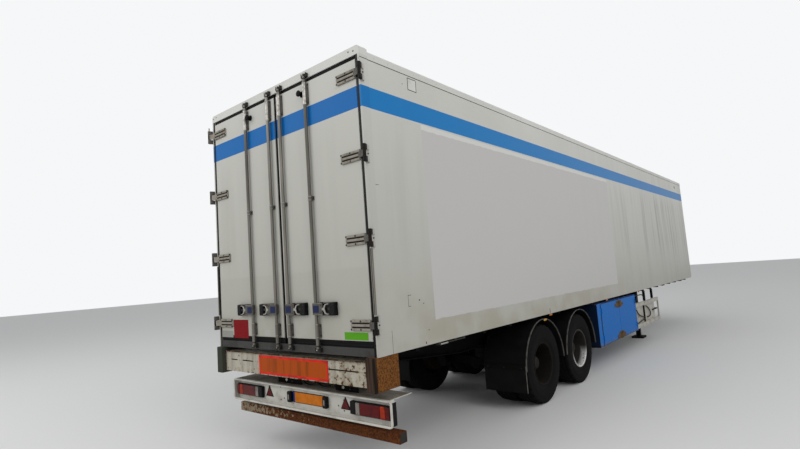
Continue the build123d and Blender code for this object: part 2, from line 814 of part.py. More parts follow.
# Wheels: each side of an axle is one twin wheel that turns on its spindle. The tyres' shoulders
# are chamfered, and the wheel is one barrel for both tyres with the drum inside.
rim_inner_x = tyre_centres[0] - bead_half_width - rim_lip
rim_outer_x = tyre_centres[1] + bead_half_width + rim_lip
barrel_radius = rim_radius - rim_wall
disc_x = hub_face_x + disc_thickness
wheel_steps = ((rim_inner_x, rim_outer_x, rim_radius, wheel_flats, Mode.ADD),
               (rim_inner_x, hub_face_x, barrel_radius, wheel_flats, Mode.SUBTRACT),
               (disc_x, rim_outer_x, barrel_radius, wheel_flats, Mode.SUBTRACT),
               (drum_inner_x, hub_face_x, drum_radius, hub_flats, Mode.ADD),
               (drum_inner_x, spindle_pocket_x, spindle_radius + spindle_gap, spindle_flats,
                Mode.SUBTRACT))
for side, sign in sides:
    for position, place in zip(("rear", "front"), axle_places):
        with BuildPart() as tyres:
            for centre in tyre_centres:
                tyre_from = sign * centre - tyre_half_width
                with BuildPart(mode=Mode.PRIVATE) as tyre:
                    with BuildSketch(side_plane(tyre_from)):
                        with Locations((place, wheel_radius)):
                            flat_round(wheel_radius, wheel_flats)
                    extrude(amount=2 * tyre_half_width)
                    for wall in tyre.faces().filter_by(Axis.X):
                        chamfer(wall.outer_wire().edges(), length=tyre_shoulder_rise,
                                length2=tyre_shoulder_width, reference=wall)
                    with BuildSketch(side_plane(tyre_from)):
                        with Locations((place, wheel_radius)):
                            flat_round(rim_radius + tyre_seat_gap, wheel_flats)
                    extrude(amount=2 * tyre_half_width, mode=Mode.SUBTRACT)
                add(tyre.part)
        save(tyres, f"tyres_{position}_{side}")

        with BuildPart() as wheel:
            with BuildSketch(side_plane(sign * disc_x)):
                with Locations((place, wheel_radius)):
                    flat_round(hub_radius, hub_flats)
            extrude(amount=sign * hub_reach)
            hub_end = wheel.faces().filter_by(Axis.X).sort_by(Axis.X)[-1 if sign > 0 else 0]
            chamfer(hub_end.edges(), length=hub_cap_edge, length2=hub_cap_length, reference=hub_end)
            for step_from, step_to, radius, flats, mode in wheel_steps:
                with BuildSketch(side_plane(sign * step_from)):
                    with Locations((place, wheel_radius)):
                        flat_round(radius, flats)
                extrude(amount=sign * (step_to - step_from), mode=mode)
        save(wheel, f"twin_wheel_{position}_{side}")

# Mudguards: a half round sheet over each twin wheel, carried by a stay from the rail
mudguard_radius = wheel_radius + mudguard_gap
mudguard_outer_x = half_width - mudguard_side_gap
mudguard_top_z = wheel_radius + mudguard_radius
with BuildPart() as mudguards:
    for place in axle_places:
        for side, sign in sides:
            with BuildSketch(side_plane(sign * mudguard_inner_x)):
                with Locations((place, wheel_radius)):
                    flat_round(mudguard_radius, mudguard_flats)
                    flat_round(mudguard_radius - mudguard_sheet, mudguard_flats, Mode.SUBTRACT)
                with Locations((place, wheel_radius - mudguard_radius)):
                    Rectangle(3 * mudguard_radius, 2 * mudguard_radius, mode=Mode.SUBTRACT)
            extrude(amount=sign * (mudguard_outer_x - mudguard_inner_x))
            block((sign * outrigger_root_x, sign * (mudguard_inner_x + mudguard_stay)),
                  span(place, mudguard_stay),
                  (mudguard_top_z - mudguard_sheet / 2, mudguard_top_z + 2 * mudguard_sheet))
save(mudguards, "mudguards")

flap_place = axle_places[0] - mudguard_radius
with BuildPart() as mud_flaps:
    for side, sign in sides:
        block((sign * (mudguard_inner_x + flap_sheet), sign * (mudguard_outer_x - flap_sheet)),
              (flap_place - flap_sheet, flap_place), (flap_bottom_z, wheel_radius + mudguard_gap))
save(mud_flaps, "mud_flaps")

# Landing legs: outer tube, inner tube, foot, bracket to the rail and the cross shaft. A gearbox
# on the right leg carries the crank, whose handle lies folded back along the side guard.
leg_place = kingpin_place - leg_behind_pin
leg_top_z = underside_z - leg_top_gap
leg_outer_x = leg_x + leg_square / 2
leg_shaft_z = rail_deep_z - leg_shaft_drop
leg_bracket_z = rail_deep_z + rail_flange + leg_bracket_rise
crank_place = leg_place - crank_setback
crank_x = guard_outer_x - guard_rail_depth / 2
foot_from, foot_end = span(leg_place, foot_length)
with BuildPart() as landing_legs:
    for side, sign in sides:
        block(span(sign * leg_x, leg_square), span(leg_place, leg_square), (leg_outer_bottom_z, leg_top_z))
        block(span(sign * leg_x, leg_inner_square), span(leg_place, leg_inner_square),
              (foot_height, leg_outer_bottom_z))
        with BuildSketch(side_plane(sign * leg_x - foot_length / 2)):
            outline((foot_from + foot_bevel, 0), (foot_end - foot_bevel, 0), (foot_end, foot_bevel),
                    (foot_end, foot_height), (foot_from, foot_height), (foot_from, foot_bevel))
        extrude(amount=foot_length)
        block((sign * outrigger_root_x, sign * (leg_outer_x - leg_square)),
              span(leg_place, leg_bracket_length), (leg_bracket_z, leg_bracket_z + leg_bracket_height))
    with BuildSketch(side_plane(-leg_x)):
        with Locations((leg_place, leg_shaft_z)):
            flat_round(leg_shaft_radius, lock_bar_flats)
    extrude(amount=2 * leg_x)
    block((leg_outer_x, leg_outer_x + gearbox_width),
          (crank_place - leg_bracket_length / 2, leg_place + leg_bracket_length / 2),
          (crank_z - gearbox_drop, crank_z - gearbox_drop + gearbox_height))
    with BuildSketch(side_plane(leg_outer_x)):
        with Locations((crank_place, crank_z)):
            flat_round(crank_radius, lock_bar_flats)
    extrude(amount=crank_x - leg_outer_x + crank_radius)
    with BuildSketch(rear_plane(crank_place)):
        with Locations((crank_x, crank_z)):
            flat_round(crank_radius, lock_bar_flats)
    extrude(amount=crank_length)
save(landing_legs, "landing_legs")

# Locker under the right side with two upright doors. Their hinges stand at the outer edges.
locker_top_z = underside_z - locker_top_gap
locker_flush_x = locker_face_x + locker_door_gap + locker_door_sheet
locker_axis_x = locker_flush_x + locker_knuckle_radius + locker_door_gap
locker_mouth = (locker_from + locker_strip, locker_to - locker_front_strip)
locker_hinges = (("rear", locker_mouth[0], 1, locker_seam - locker_gap / 2),
                 ("front", locker_mouth[1], -1, locker_seam + locker_gap / 2))
locker_hinge_heights = (locker_bottom_z + locker_hinge_end_gap, locker_top_z - locker_hinge_end_gap)
locker_hollow_z = (locker_bottom_z + locker_sheet, locker_top_z - locker_sheet)
knuckle_edge = locker_knuckle_radius + locker_door_gap + knuckle_gap
locker_hanger_x = locker_inner_x + locker_hanger_inset
with BuildPart() as locker:
    block((locker_inner_x, locker_flush_x), (locker_from, locker_to), (locker_bottom_z, locker_top_z))
    block((locker_face_x, locker_flush_x), locker_mouth, (locker_bottom_z, locker_top_z),
          mode=Mode.SUBTRACT)
    block((locker_inner_x + locker_sheet, locker_face_x), locker_mouth, locker_hollow_z,
          mode=Mode.SUBTRACT)
    block((locker_inner_x + locker_sheet, locker_flush_x - locker_sheet),
          (locker_from + locker_sheet, locker_mouth[0] - locker_sheet), locker_hollow_z,
          mode=Mode.SUBTRACT)
    for place in (front_members[1], front_members[3]):
        block((locker_hanger_x, locker_hanger_x + locker_hanger_width), span(place, member_flange),
              (locker_top_z - locker_sheet, outrigger_underside_z))
    for name, hinge_y, inward, free_end in locker_hinges:
        for hinge_z in locker_hinge_heights:
            leaf_z = span(hinge_z, 2 * locker_knuckle_length)
            block((locker_flush_x, locker_flush_x + locker_leaf),
                  (hinge_y - inward * locker_body_leaf_width, hinge_y - inward * knuckle_edge), leaf_z)
            for low in (leaf_z[0], hinge_z + locker_knuckle_length / 2 + knuckle_gap):
                with BuildSketch(plan_plane(low)):
                    with Locations((locker_axis_x, hinge_y)):
                        RegularPolygon(locker_knuckle_radius, knuckle_flats)
                    with Locations((locker_flush_x + locker_leaf / 2, hinge_y - inward * knuckle_edge / 2)):
                        Rectangle(locker_leaf, knuckle_edge)
                extrude(amount=locker_knuckle_length / 2 - knuckle_gap)
            with BuildSketch(plan_plane(leaf_z[0])):
                with Locations((locker_axis_x, hinge_y)):
                    RegularPolygon(locker_pin_radius, hinge_pin_flats)
            extrude(amount=2 * locker_knuckle_length)
save(locker, "locker")

for name, hinge_y, inward, free_end in locker_hinges:
    with BuildPart() as locker_door:
        block((locker_face_x + locker_door_gap, locker_flush_x), (hinge_y + inward * locker_gap, free_end),
              (locker_bottom_z + locker_door_edge, locker_top_z - locker_door_edge))
        for hinge_z in locker_hinge_heights:
            block((locker_flush_x, locker_flush_x + locker_leaf),
                  (hinge_y + inward * locker_gap, hinge_y + inward * locker_leaf_width),
                  span(hinge_z, locker_knuckle_length))
            with BuildSketch(plan_plane(hinge_z - locker_knuckle_length / 2)):
                with Locations((locker_flush_x + locker_leaf / 2, hinge_y + inward * knuckle_edge / 2)):
                    Rectangle(locker_leaf, knuckle_edge)
                with Locations((locker_axis_x, hinge_y)):
                    RegularPolygon(locker_knuckle_radius, knuckle_flats)
                    flat_round(locker_pin_radius + locker_pin_clearance, hinge_pin_flats, Mode.SUBTRACT)
            extrude(amount=locker_knuckle_length)
    save(locker_door, f"locker_door_{name}")

# Side guards: two rails on posts under the outriggers, closed by a panel on the right
guard_back_x = guard_outer_x - guard_rail_depth
guard_post_x = guard_back_x - guard_sheet
guard_to = leg_place + guard_past_leg
guard_rails = ((guard_bottom_z, guard_bottom_z + guard_rail_height),
               (guard_top_z - guard_rail_height, guard_top_z))
guard_spans = {"left": (locker_from, guard_to), "right": (locker_to + guard_gap, guard_to)}
with BuildPart() as side_guards:
    for side, sign in sides:
        guard_from, guard_end = guard_spans[side]
        for low, high in guard_rails:
            block((sign * guard_back_x, sign * guard_outer_x), (guard_from, guard_end), (low, high))
        for place in front_members:
            if guard_from < place < guard_end:
                block((sign * (guard_post_x - guard_post_depth), sign * guard_post_x),
                      span(place, guard_post_length), (guard_bottom_z, outrigger_underside_z))
                for low, high in guard_rails:
                    block((sign * guard_post_x, sign * guard_back_x), span(place, guard_post_length),
                          (low, high))
        if side == "right":
            block((sign * guard_post_x, sign * guard_back_x), (guard_from, guard_end - guard_panel_setback),
                  (guard_bottom_z, guard_top_z))
save(side_guards, "side_guards")

# Rear beam: a folded channel with slots and a lip along its top, bolted to the rails
beam_top_z = underside_z - beam_top_gap
beam_bottom_z = beam_top_z - beam_height
beam_hollow_z = (beam_bottom_z + beam_sheet, beam_top_z - beam_sheet)
slot_z = beam_bottom_z + beam_slot_rise
with BuildPart() as rear_beam:
    block((-beam_half_width, beam_half_width), (0, beam_depth), (beam_bottom_z, beam_top_z))
    block((-beam_half_width, beam_half_width), (beam_sheet, beam_depth), beam_hollow_z,
          mode=Mode.SUBTRACT)
    block((-beam_half_width, beam_half_width), (-beam_lip, beam_lip), (beam_top_z, beam_top_z + beam_sheet))
    for slot_x, slot_length in beam_slots:
        block(span(slot_x, slot_length), (-beam_sheet, 2 * beam_sheet), span(slot_z, beam_slot_height),
              mode=Mode.SUBTRACT)
    for side, sign in sides:
        block(span(sign * rail_x, beam_web), (beam_sheet, rail_rear), beam_hollow_z)
save(rear_beam, "rear_beam")

with BuildPart() as corner_buffers:
    for side, sign in sides:
        block((sign * beam_half_width, sign * (half_width - end_post_inset)), (-end_post_out, beam_depth),
              (beam_bottom_z - end_post_drop, underside_z))
save(corner_buffers, "corner_buffers")

marker_z = beam_bottom_z + (beam_height - marker_height) / 2
with BuildPart() as marker_board:
    block(span(marker_offset_x, marker_width), (-marker_sheet, 0), (marker_z, marker_z + marker_height))
save(marker_board, "marker_board")

# Light carrier: a folded tray with a rim round the lamps and a shelf that runs forward
carrier_top_z = beam_bottom_z - carrier_gap
carrier_bottom_z = carrier_top_z - carrier_height
carrier_web = carrier_rim + carrier_depth
carrier_inner = carrier_half_width - carrier_sheet
shelf_z = (carrier_top_z - carrier_sheet, carrier_top_z)
shelf_end = carrier_web + carrier_shelf
with BuildPart() as light_carrier:
    block((-carrier_half_width, carrier_half_width), (carrier_rim, carrier_web + carrier_sheet),
          (carrier_bottom_z, carrier_top_z))
    chamfer(light_carrier.edges().filter_by(Axis.Y), carrier_corner)
    with BuildPart(mode=Mode.SUBTRACT):
        block((-carrier_inner, carrier_inner), (carrier_rim, carrier_web),
              (carrier_bottom_z + carrier_sheet, carrier_top_z - carrier_sheet))
        chamfer(edges().filter_by(Axis.Y), carrier_corner - carrier_sheet / 2)
    block((carrier_corner - carrier_half_width, carrier_half_width - carrier_corner),
          (carrier_web, shelf_end), shelf_z)
save(light_carrier, "light_carrier")

lamp_z = (carrier_top_z + carrier_bottom_z) / 2
lamp_end_x = carrier_inner - carrier_corner
with BuildPart() as tail_lamps:
    for side, sign in sides:
        block((sign * (lamp_end_x - lamp_length), sign * lamp_end_x),
              (carrier_web - lamp_depth, carrier_web), span(lamp_z, lamp_height))
    outer_edges = tail_lamps.edges().filter_by(Axis.Y).group_by(Axis.X)
    chamfer(outer_edges[0] + outer_edges[-1], lamp_corner)
save(tail_lamps, "tail_lamps")

with BuildPart() as reflectors:
    for side, sign in sides:
        with BuildSketch(rear_plane(carrier_web)):
            with Locations((sign * reflector_x, lamp_z)):
                RegularPolygon(reflector_radius, 3, rotation=90)
        extrude(amount=reflector_depth)
save(reflectors, "reflectors")

with BuildPart() as number_plate:
    block(span(plate_offset_x, plate_width), (carrier_web - plate_thickness, carrier_web),
          span(lamp_z, plate_height))
    for lamp_side in (-1, 1):
        lamp_x = plate_offset_x + lamp_side * (plate_width + plate_lamp_width) / 2
        block(span(lamp_x, plate_lamp_width), (carrier_web - lamp_depth, carrier_web),
              span(lamp_z, plate_height))
save(number_plate, "number_plate")

# Underrun bar, on brackets that run up past the light carrier's shelf to the rails
underrun_top_z = underrun_bottom_z + underrun_size
underrun_end = underrun_place + underrun_size
with BuildPart() as underrun_bar:
    block((-carrier_half_width, carrier_half_width), (underrun_place, underrun_end),
          (underrun_bottom_z, underrun_top_z))
    for side, sign in sides:
        bracket_x = span(sign * rail_x, underrun_bracket)
        block(bracket_x, (underrun_place, shelf_end), (underrun_top_z, carrier_top_z - carrier_sheet))
        block(bracket_x, (rail_rear, shelf_end), (carrier_top_z, rail_tail_z))
save(underrun_bar, "underrun_bar")

# Side marker lamps under the lower edge of the walls
last_marker = rail_front - last_marker_setback
marker_places = (*side_marker_places, (side_marker_places[-1] + last_marker) / 2, last_marker)
with BuildPart() as side_markers:
    for side, sign in sides:
        for place in marker_places:
            block((sign * (wall_outer_x - cap_overhang), sign * (half_width + side_marker_out)),
                  span(place, side_marker_length), (underside_z - side_marker_height, underside_z))
save(side_markers, "side_marker_lamps")

# Air tanks between the rails, hung from two cross members by their straps
tank_members = front_members[1:3]
tank_place = sum(tank_members) / 2
tank_length = member_pitch + 2 * air_tank_overhang
tank_z = member_root_z - air_tank_drop - air_tank_radius
with BuildPart() as air_tanks:
    for side, sign in sides:
        with BuildSketch(rear_plane(tank_place - tank_length / 2)):
            with Locations((sign * air_tank_x, tank_z)):
                flat_round(air_tank_radius, air_tank_flats)
        extrude(amount=-tank_length)
        for place in tank_members:
            block(span(sign * air_tank_x, member_flange), span(place, member_flange),
                  (tank_z + air_tank_radius - air_tank_strap_lap, member_root_z))
save(air_tanks, "air_tanks")

# Fuel tank of the cooling unit outside the left rail, on two brackets from the rail's web
fuel_tank_to = leg_place - fuel_tank_behind_leg
fuel_tank_from = fuel_tank_to - fuel_tank_length
fuel_tank_top_z = underside_z - fuel_tank_drop
with BuildPart() as fuel_tank:
    block((-fuel_tank_inner_x - fuel_tank_width, -fuel_tank_inner_x), (fuel_tank_from, fuel_tank_to),
          (fuel_tank_top_z - fuel_tank_height, fuel_tank_top_z))
    chamfer(fuel_tank.edges().filter_by(Axis.Y), fuel_tank_edge)
    for place in (fuel_tank_from + fuel_bracket_inset, fuel_tank_to - fuel_bracket_inset):
        block((-fuel_tank_inner_x, -outrigger_root_x), span(place, fuel_bracket_size),
              span(fuel_tank_top_z - fuel_bracket_drop, fuel_bracket_size))
save(fuel_tank, "fuel_tank")

# Panel with the air and electric connections at the foot of the front wall
panel_z = underside_z + panel_rise
with BuildPart() as connection_panel:
    block((-panel_half_width, panel_half_width), (body_length, body_length + panel_depth),
          (panel_z, panel_z + panel_height))
    with BuildSketch(rear_plane(body_length + panel_depth)):
        with Locations(*[(x, panel_z + panel_height / 2) for x in coupling_heads]):
            flat_round(coupling_head_radius, coupling_head_flats)
    extrude(amount=-coupling_head_reach)
save(connection_panel, "connection_panel")
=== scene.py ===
from math import atan2, pi, radians

import bpy
from mathutils import Matrix, Vector


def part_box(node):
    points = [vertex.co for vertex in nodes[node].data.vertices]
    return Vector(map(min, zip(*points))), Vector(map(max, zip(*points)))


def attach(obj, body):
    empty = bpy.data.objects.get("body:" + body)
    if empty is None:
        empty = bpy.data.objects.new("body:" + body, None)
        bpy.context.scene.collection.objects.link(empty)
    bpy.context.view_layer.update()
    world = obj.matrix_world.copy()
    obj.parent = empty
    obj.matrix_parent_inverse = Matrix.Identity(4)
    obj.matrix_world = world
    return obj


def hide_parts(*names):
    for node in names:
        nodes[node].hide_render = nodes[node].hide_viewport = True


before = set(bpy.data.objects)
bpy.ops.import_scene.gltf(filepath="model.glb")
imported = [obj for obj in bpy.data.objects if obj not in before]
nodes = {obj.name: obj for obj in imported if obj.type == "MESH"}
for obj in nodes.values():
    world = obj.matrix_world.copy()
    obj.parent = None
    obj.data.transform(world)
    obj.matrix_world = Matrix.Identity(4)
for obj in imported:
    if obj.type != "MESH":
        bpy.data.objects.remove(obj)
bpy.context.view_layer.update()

# Camera: a wide-angle hand-held view at eye height from behind the trailer's right corner.
# It is turned to the left of straight ahead, tipped up a little and not quite level.
EYE = (4.300, -10.048, 1.879)
HEADING, UPWARD, TILT = 40.217, 5.701, -4.142
camera_data = bpy.data.cameras.new("camera")
camera_data.sensor_width = 36
camera_data.lens = 22.215
camera = bpy.data.objects.new("camera", camera_data)
turn = Matrix.Rotation(radians(HEADING), 4, "Z") @ Matrix.Rotation(radians(90 + UPWARD), 4, "X")
camera.matrix_world = Matrix.Translation(EYE) @ turn @ Matrix.Rotation(radians(TILT), 4, "Z")
bpy.context.collection.objects.link(camera)
bpy.context.scene.camera = camera
bpy.context.scene.view_settings.view_transform = "Standard"


# Studio: a plain pale floor under a bright even sky, with two large soft lamps behind and to
# the right. Camera, glossy and transmission rays see a brighter sky than the one that lights.
def linear(code):
    """Linear colour with alpha from an sRGB hex code."""
    parts = [int(code[i:i + 2], 16) / 255 for i in (1, 3, 5)]
    return tuple(c / 12.92 if c <= 0.04045 else ((c + 0.055) / 1.055) ** 2.4 for c in parts) + (1.0,)


def add(tree, kind, inputs, **settings):
    """Adds a shader node. Inputs are numbers, hex colours or sockets, and a Mix node mixes
    colours. Returns its first output in use."""
    node = tree.nodes.new("ShaderNode" + kind)
    if kind == "Mix":
        node.data_type = "RGBA"
    for key, value in settings.items():
        setattr(node, key, value)
    for key, value in inputs.items():
        if isinstance(value, bpy.types.NodeSocket):
            tree.links.new(value, node.inputs[key])
        else:
            node.inputs[key].default_value = linear(value) if isinstance(value, str) else value
    return [socket for socket in node.outputs if socket.enabled][0]


def new_material(name, colour, roughness, metallic=0.0):
    """Material with a plain shader. Returns it with its node tree and the object's coordinates."""
    mat = bpy.data.materials.new(name)
    mat.use_nodes = True
    tree = mat.node_tree
    shader = tree.nodes["Principled BSDF"]
    shader.inputs["Base Color"].default_value = linear(colour)
    shader.inputs["Roughness"].default_value = roughness
    shader.inputs["Metallic"].default_value = metallic
    if metallic < 0.3:
        shader.inputs["Specular IOR Level"].default_value = 0.1
    return mat, tree, add(tree, "TexCoord", {}).node.outputs["Object"]


def coat(tree, inputs):
    """Joins sockets to the material's shader."""
    for key, socket in inputs.items():
        tree.links.new(socket, tree.nodes["Principled BSDF"].inputs[key])


bpy.ops.object.select_all(action="DESELECT")
bpy.ops.mesh.primitive_plane_add(size=160, location=(0, 0, 0))
floor = bpy.context.object
floor.name = "studio_floor"
# Studio paper: pale and matt, so that only soft shadows show on it.
floor.data.materials.append(new_material("pale_floor", "#d9d9d7", 0.85)[0])

world = bpy.data.worlds.new("overcast")
bpy.context.scene.world = world
world.use_nodes = True
tree = world.node_tree
tree.nodes["Background"].inputs["Color"].default_value = linear("#f4f6f9")
tree.nodes["Background"].inputs["Strength"].default_value = 0.62
bright = add(tree, "Background", {"Color": "#f6f7f8", "Strength": 1.0})
rays = add(tree, "LightPath", {}).node.outputs
seen = add(tree, "Math", {0: rays["Is Camera Ray"], 1: rays["Is Glossy Ray"]}, operation="MAXIMUM")
seen = add(tree, "Math", {0: seen, 1: rays["Is Transmission Ray"]}, operation="MAXIMUM")
sky = add(tree, "MixShader", {0: seen, 1: tree.nodes["Background"].outputs[0], 2: bright})
tree.links.new(sky, tree.nodes["World Output"].inputs["Surface"])

for name, place, power in (("sky_right", (16, -9, 13), 1500), ("sky_rear", (-7, -19, 11), 1300)):
    lamp_data = bpy.data.lights.new(name, "AREA")
    lamp_data.size = 14
    lamp_data.energy = power
    lamp = bpy.data.objects.new(name, lamp_data)
    lamp.location = place
    lamp.rotation_euler = (Vector((0, -2, 2)) - Vector(place)).to_track_quat("-Z", "Y").to_euler()
    bpy.context.collection.objects.link(lamp)

# Insulated body: walls, doors, roof and posts are smooth painted skins over foam panels. A blue
# band runs round the body near the top, and a grey field is painted over part of each side.
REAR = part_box("rear_header")[0][1]
SIDES = (("left", -1), ("right", 1))


def at(distance):
    """Y of a place that lies the given distance forward of the rear door face."""
    return REAR + distance


BAND = (3.414, 3.617)
FIELD_Y, FIELD_Z = (at(0.86), at(6.65)), (1.42, 3.36)
# The band and the field lie only on the outer skins: past this x, or behind or ahead of these y.
SKIN_X, SKIN_REAR, SKIN_FRONT = 1.285, at(0.006), at(13.39)


def dress(mat, *names):
    """Gives a CAD node's object the material."""
    for name in names:
        mesh = nodes[name].data
        mesh.materials.clear()
        mesh.materials.append(mat)


def between(tree, value, low, high):
    """1 where the value lies between low and high, else 0."""
    over = add(tree, "Math", {0: value, 1: low}, operation="GREATER_THAN")
    under = add(tree, "Math", {0: value, 1: high}, operation="LESS_THAN")
    return add(tree, "Math", {0: over, 1: under}, operation="MULTIPLY")


def patches(tree, where, scale, detail, levels, top=1.0, run=1.0, rough=0.5, blend="SMOOTHSTEP"):
    """Patches that rise from 0 to their top between two levels of a noise, and run down the
    surface when run is small."""
    drawn_out = add(tree, "Mapping", {0: where, 3: (1, 1, run)})
    noise = add(tree, "TexNoise", {"Vector": drawn_out, "Scale": scale, "Detail": detail,
                                   "Roughness": rough})
    return add(tree, "MapRange", {0: noise, 1: levels[0], 2: levels[1], 4: top},
               interpolation_type=blend)


def coach_paint(name, white, band=None, field=False, black_post=False, dirt=0.45, seam=None,
                tide=None):
    """Old coach paint: semi-gloss and faintly wavy, so that the big flat panels don't look ideal.
    Rain has drawn soft streaks down it toward the front, and road dirt yellows its lower edge."""
    mat, tree, where = new_material(name, white, 0.42)
    x, y, z = add(tree, "SeparateXYZ", {0: where}).node.outputs
    # Painted shade: the white darkens evenly from the top of each panel toward its foot.
    shade = add(tree, "MapRange", {0: z, 1: 3.8, 2: 1.2, 4: 0.8})
    white = add(tree, "Mix", {0: shade, 6: white, 7: "#a2a199"})
    cloud = patches(tree, where, 0.5, 3, (0.35, 0.7), 0.35, blend="LINEAR")
    colour = add(tree, "Mix", {0: cloud, 6: white, 7: "#acaba4"})

    forward = add(tree, "MapRange", {0: y, 1: at(3.0), 2: at(10.0), 3: 0.3, 4: 1.5})
    streak = patches(tree, where, 6.0, 7, (0.42, 0.8), 0.55, 0.045, 0.58)
    streak = add(tree, "Math", {0: streak, 1: forward}, operation="MULTIPLY")
    for start, stop, below, above in ((1.7, 2.3, 0.25, 1.0), (3.05, 3.45, 1.0, 0.2)):
        rinsed = add(tree, "MapRange", {0: z, 1: start, 2: stop, 3: below, 4: above},
                     interpolation_type="SMOOTHSTEP")
        streak = add(tree, "Math", {0: streak, 1: rinsed}, operation="MULTIPLY")
    colour = add(tree, "Mix", {0: streak, 6: colour, 7: "#8a8b82"})

    side = add(tree, "Math", {0: x}, operation="ABSOLUTE")
    skin = add(tree, "Math", {0: side, 1: SKIN_X}, operation="GREATER_THAN")
    for edge, test in ((SKIN_REAR, "LESS_THAN"), (SKIN_FRONT, "GREATER_THAN")):
        face = add(tree, "Math", {0: y, 1: edge}, operation=test)
        skin = add(tree, "Math", {0: skin, 1: face}, operation="MAXIMUM")
    if band:
        scuff = add(tree, "Math", {0: streak, 1: 0.6}, operation="MULTIPLY")
        blue = add(tree, "Mix", {0: scuff, 6: band, 7: "#6f93ba"})
        stripe = add(tree, "Math", {0: between(tree, z, *BAND), 1: skin}, operation="MULTIPLY")
        colour = add(tree, "Mix", {0: stripe, 6: colour, 7: blue})
    if field:
        ragged = add(tree, "TexNoise", {"Vector": where, "Scale": 9.0, "Detail": 3})
        ragged = add(tree, "Math", {0: ragged, 1: 0.03, 2: z}, operation="MULTIPLY_ADD")
        along = add(tree, "Math", {0: between(tree, y, *FIELD_Y), 1: skin}, operation="MULTIPLY")
        halo = add(tree, "Math", {0: along, 1: between(tree, ragged, FIELD_Z[1], FIELD_Z[1] + 0.05)},
                   operation="MULTIPLY")
        colour = add(tree, "Mix", {0: halo, 6: colour, 7: "#c9c8c4"})

    low = add(tree, "MapRange", {0: z, 1: 2.1, 2: 1.15, 4: dirt}, interpolation_type="SMOOTHSTEP")
    cleaner = add(tree, "MapRange", {0: y, 1: at(4.5), 2: at(8.0), 3: 1.0, 4: 0.25})
    low = add(tree, "Math", {0: low, 1: cleaner}, operation="MULTIPLY")
    patchy = patches(tree, where, 2.0, 6, (0.3, 0.65))
    patchy = add(tree, "Math", {0: low, 1: patchy}, operation="MULTIPLY")
    colour = add(tree, "Mix", {0: patchy, 6: colour, 7: "#8b8166"})
    if field:
        inside = add(tree, "Math", {0: along, 1: between(tree, ragged, *FIELD_Z)},
                     operation="MULTIPLY")
        colour = add(tree, "Mix", {0: inside, 6: colour, 7: "#b7b5b3"})
    if tide:
        below = add(tree, "MapRange", {0: z, 1: tide + 0.01, 2: tide - 0.01, 4: 0.22})
        colour = add(tree, "Mix", {0: below, 6: colour, 7: "#9a9a90"})
    if seam:
        line = add(tree, "Math", {0: between(tree, y, at(seam - 0.002), at(seam + 0.002)),
                                  1: between(tree, z, 1.1, 1.38)}, operation="MULTIPLY")
        colour = add(tree, "Mix", {0: line, 6: colour, 7: "#46423a"})
    if black_post:
        rear_face = add(tree, "Math", {0: y, 1: at(0.004)}, operation="LESS_THAN")
        inner = add(tree, "Math", {0: between(tree, x, -1.280, 1.280), 1: rear_face},
                    operation="MULTIPLY")
        colour = add(tree, "Mix", {0: inner, 6: colour, 7: "#0b0b0b"})
    rough = add(tree, "MapRange", {0: streak, 3: 0.36, 4: 0.6})
    waves = add(tree, "TexNoise", {"Vector": where, "Scale": 1.6, "Detail": 1})
    waves = add(tree, "Bump", {"Height": waves, "Distance": 0.012, "Strength": 0.25})
    coat(tree, {"Base Color": colour, "Roughness": rough, "Normal": waves})
    return mat


# Wall paint: off-white with the blue band and the grey field, and a seam low behind the post.
wall_paint = coach_paint("wall_paint", "#c4c3bd", band="#1a72b0", field=True, seam=0.199)
# Door paint: a little greyer, a deeper band, and a faint tide mark below mid height.
door_paint = coach_paint("door_paint", "#bdbcb5", band="#0660a4", dirt=0.3, tide=1.965)
# Front paint: dulled by rain. Post paint: its rear face is black under the door rubbers.
front_paint = coach_paint("front_paint", "#bbbab4", band="#1a66a6")
post_paint = coach_paint("post_paint", "#bfbeb9", band="#176cab", black_post=True)
# Roof paint: the palest, with no band.
roof_paint = coach_paint("roof_paint", "#cac9c4")
dress(wall_paint, "side_wall_left", "side_wall_right")
dress(door_paint, "rear_door_panel_left", "rear_door_panel_right")
dress(front_paint, "front_wall")
dress(post_paint, "rear_corner_posts")
dress(roof_paint, "roof", "rear_header")


# Chassis: sheet and sections, painted or bare, that have spent years in spray and grit. Rails,
# cross members, sill, floor and kingpin keep their CAD shape.
def worn_finish(name, colour, wear, roughness, metallic=0.0, scale=6.0, amount=0.5, grain=0.0006,
                run=1.0):
    """A surface that goes to its wear colour in soft patches, which run down the piece when run is
    small. It is rougher where it is worn, and its fine grain breaks up highlights."""
    mat, tree, where = new_material(name, colour, roughness, metallic)
    worn = patches(tree, where, scale, 8, (0.6 - amount / 3, 0.72), 1.0, run, 0.6)
    share = add(tree, "Math", {0: worn, 1: amount}, operation="MULTIPLY")
    colour = add(tree, "Mix", {0: share, 6: colour, 7: wear})
    rough = add(tree, "MapRange", {0: worn, 3: roughness, 4: min(1, roughness + 0.25)})
    fine = add(tree, "TexNoise", {"Vector": where, "Scale": scale * 12, "Detail": 5})
    fine = add(tree, "Bump", {"Height": fine, "Distance": grain, "Strength": 0.6})
    coat(tree, {"Base Color": colour, "Roughness": rough, "Normal": fine})
    return mat


# Black chassis paint: nearly black, matt, browned by road dirt.
chassis_paint = worn_finish("chassis_paint", "#090909", "#171310", 0.75, 0, 5, 0.6)
# Greased forging: dark metal with brown grease. Sill: dark grey paint. Floor: dull extrusion.
greased_steel = worn_finish("greased_steel", "#77736d", "#3c2f24", 0.35, 1.0)
sill_paint = worn_finish("dark_sill_paint", "#3f3e3d", "#2d2b29", 0.5)
floor_metal = worn_finish("floor_aluminium", "#a3a4a5", "#77777a", 0.4, 1.0)
dress(chassis_paint, "main_rails", "cross_members", "coupling_plate")
dress(greased_steel, "kingpin")
dress(sill_paint, "rear_sill")
dress(floor_metal, "floor")


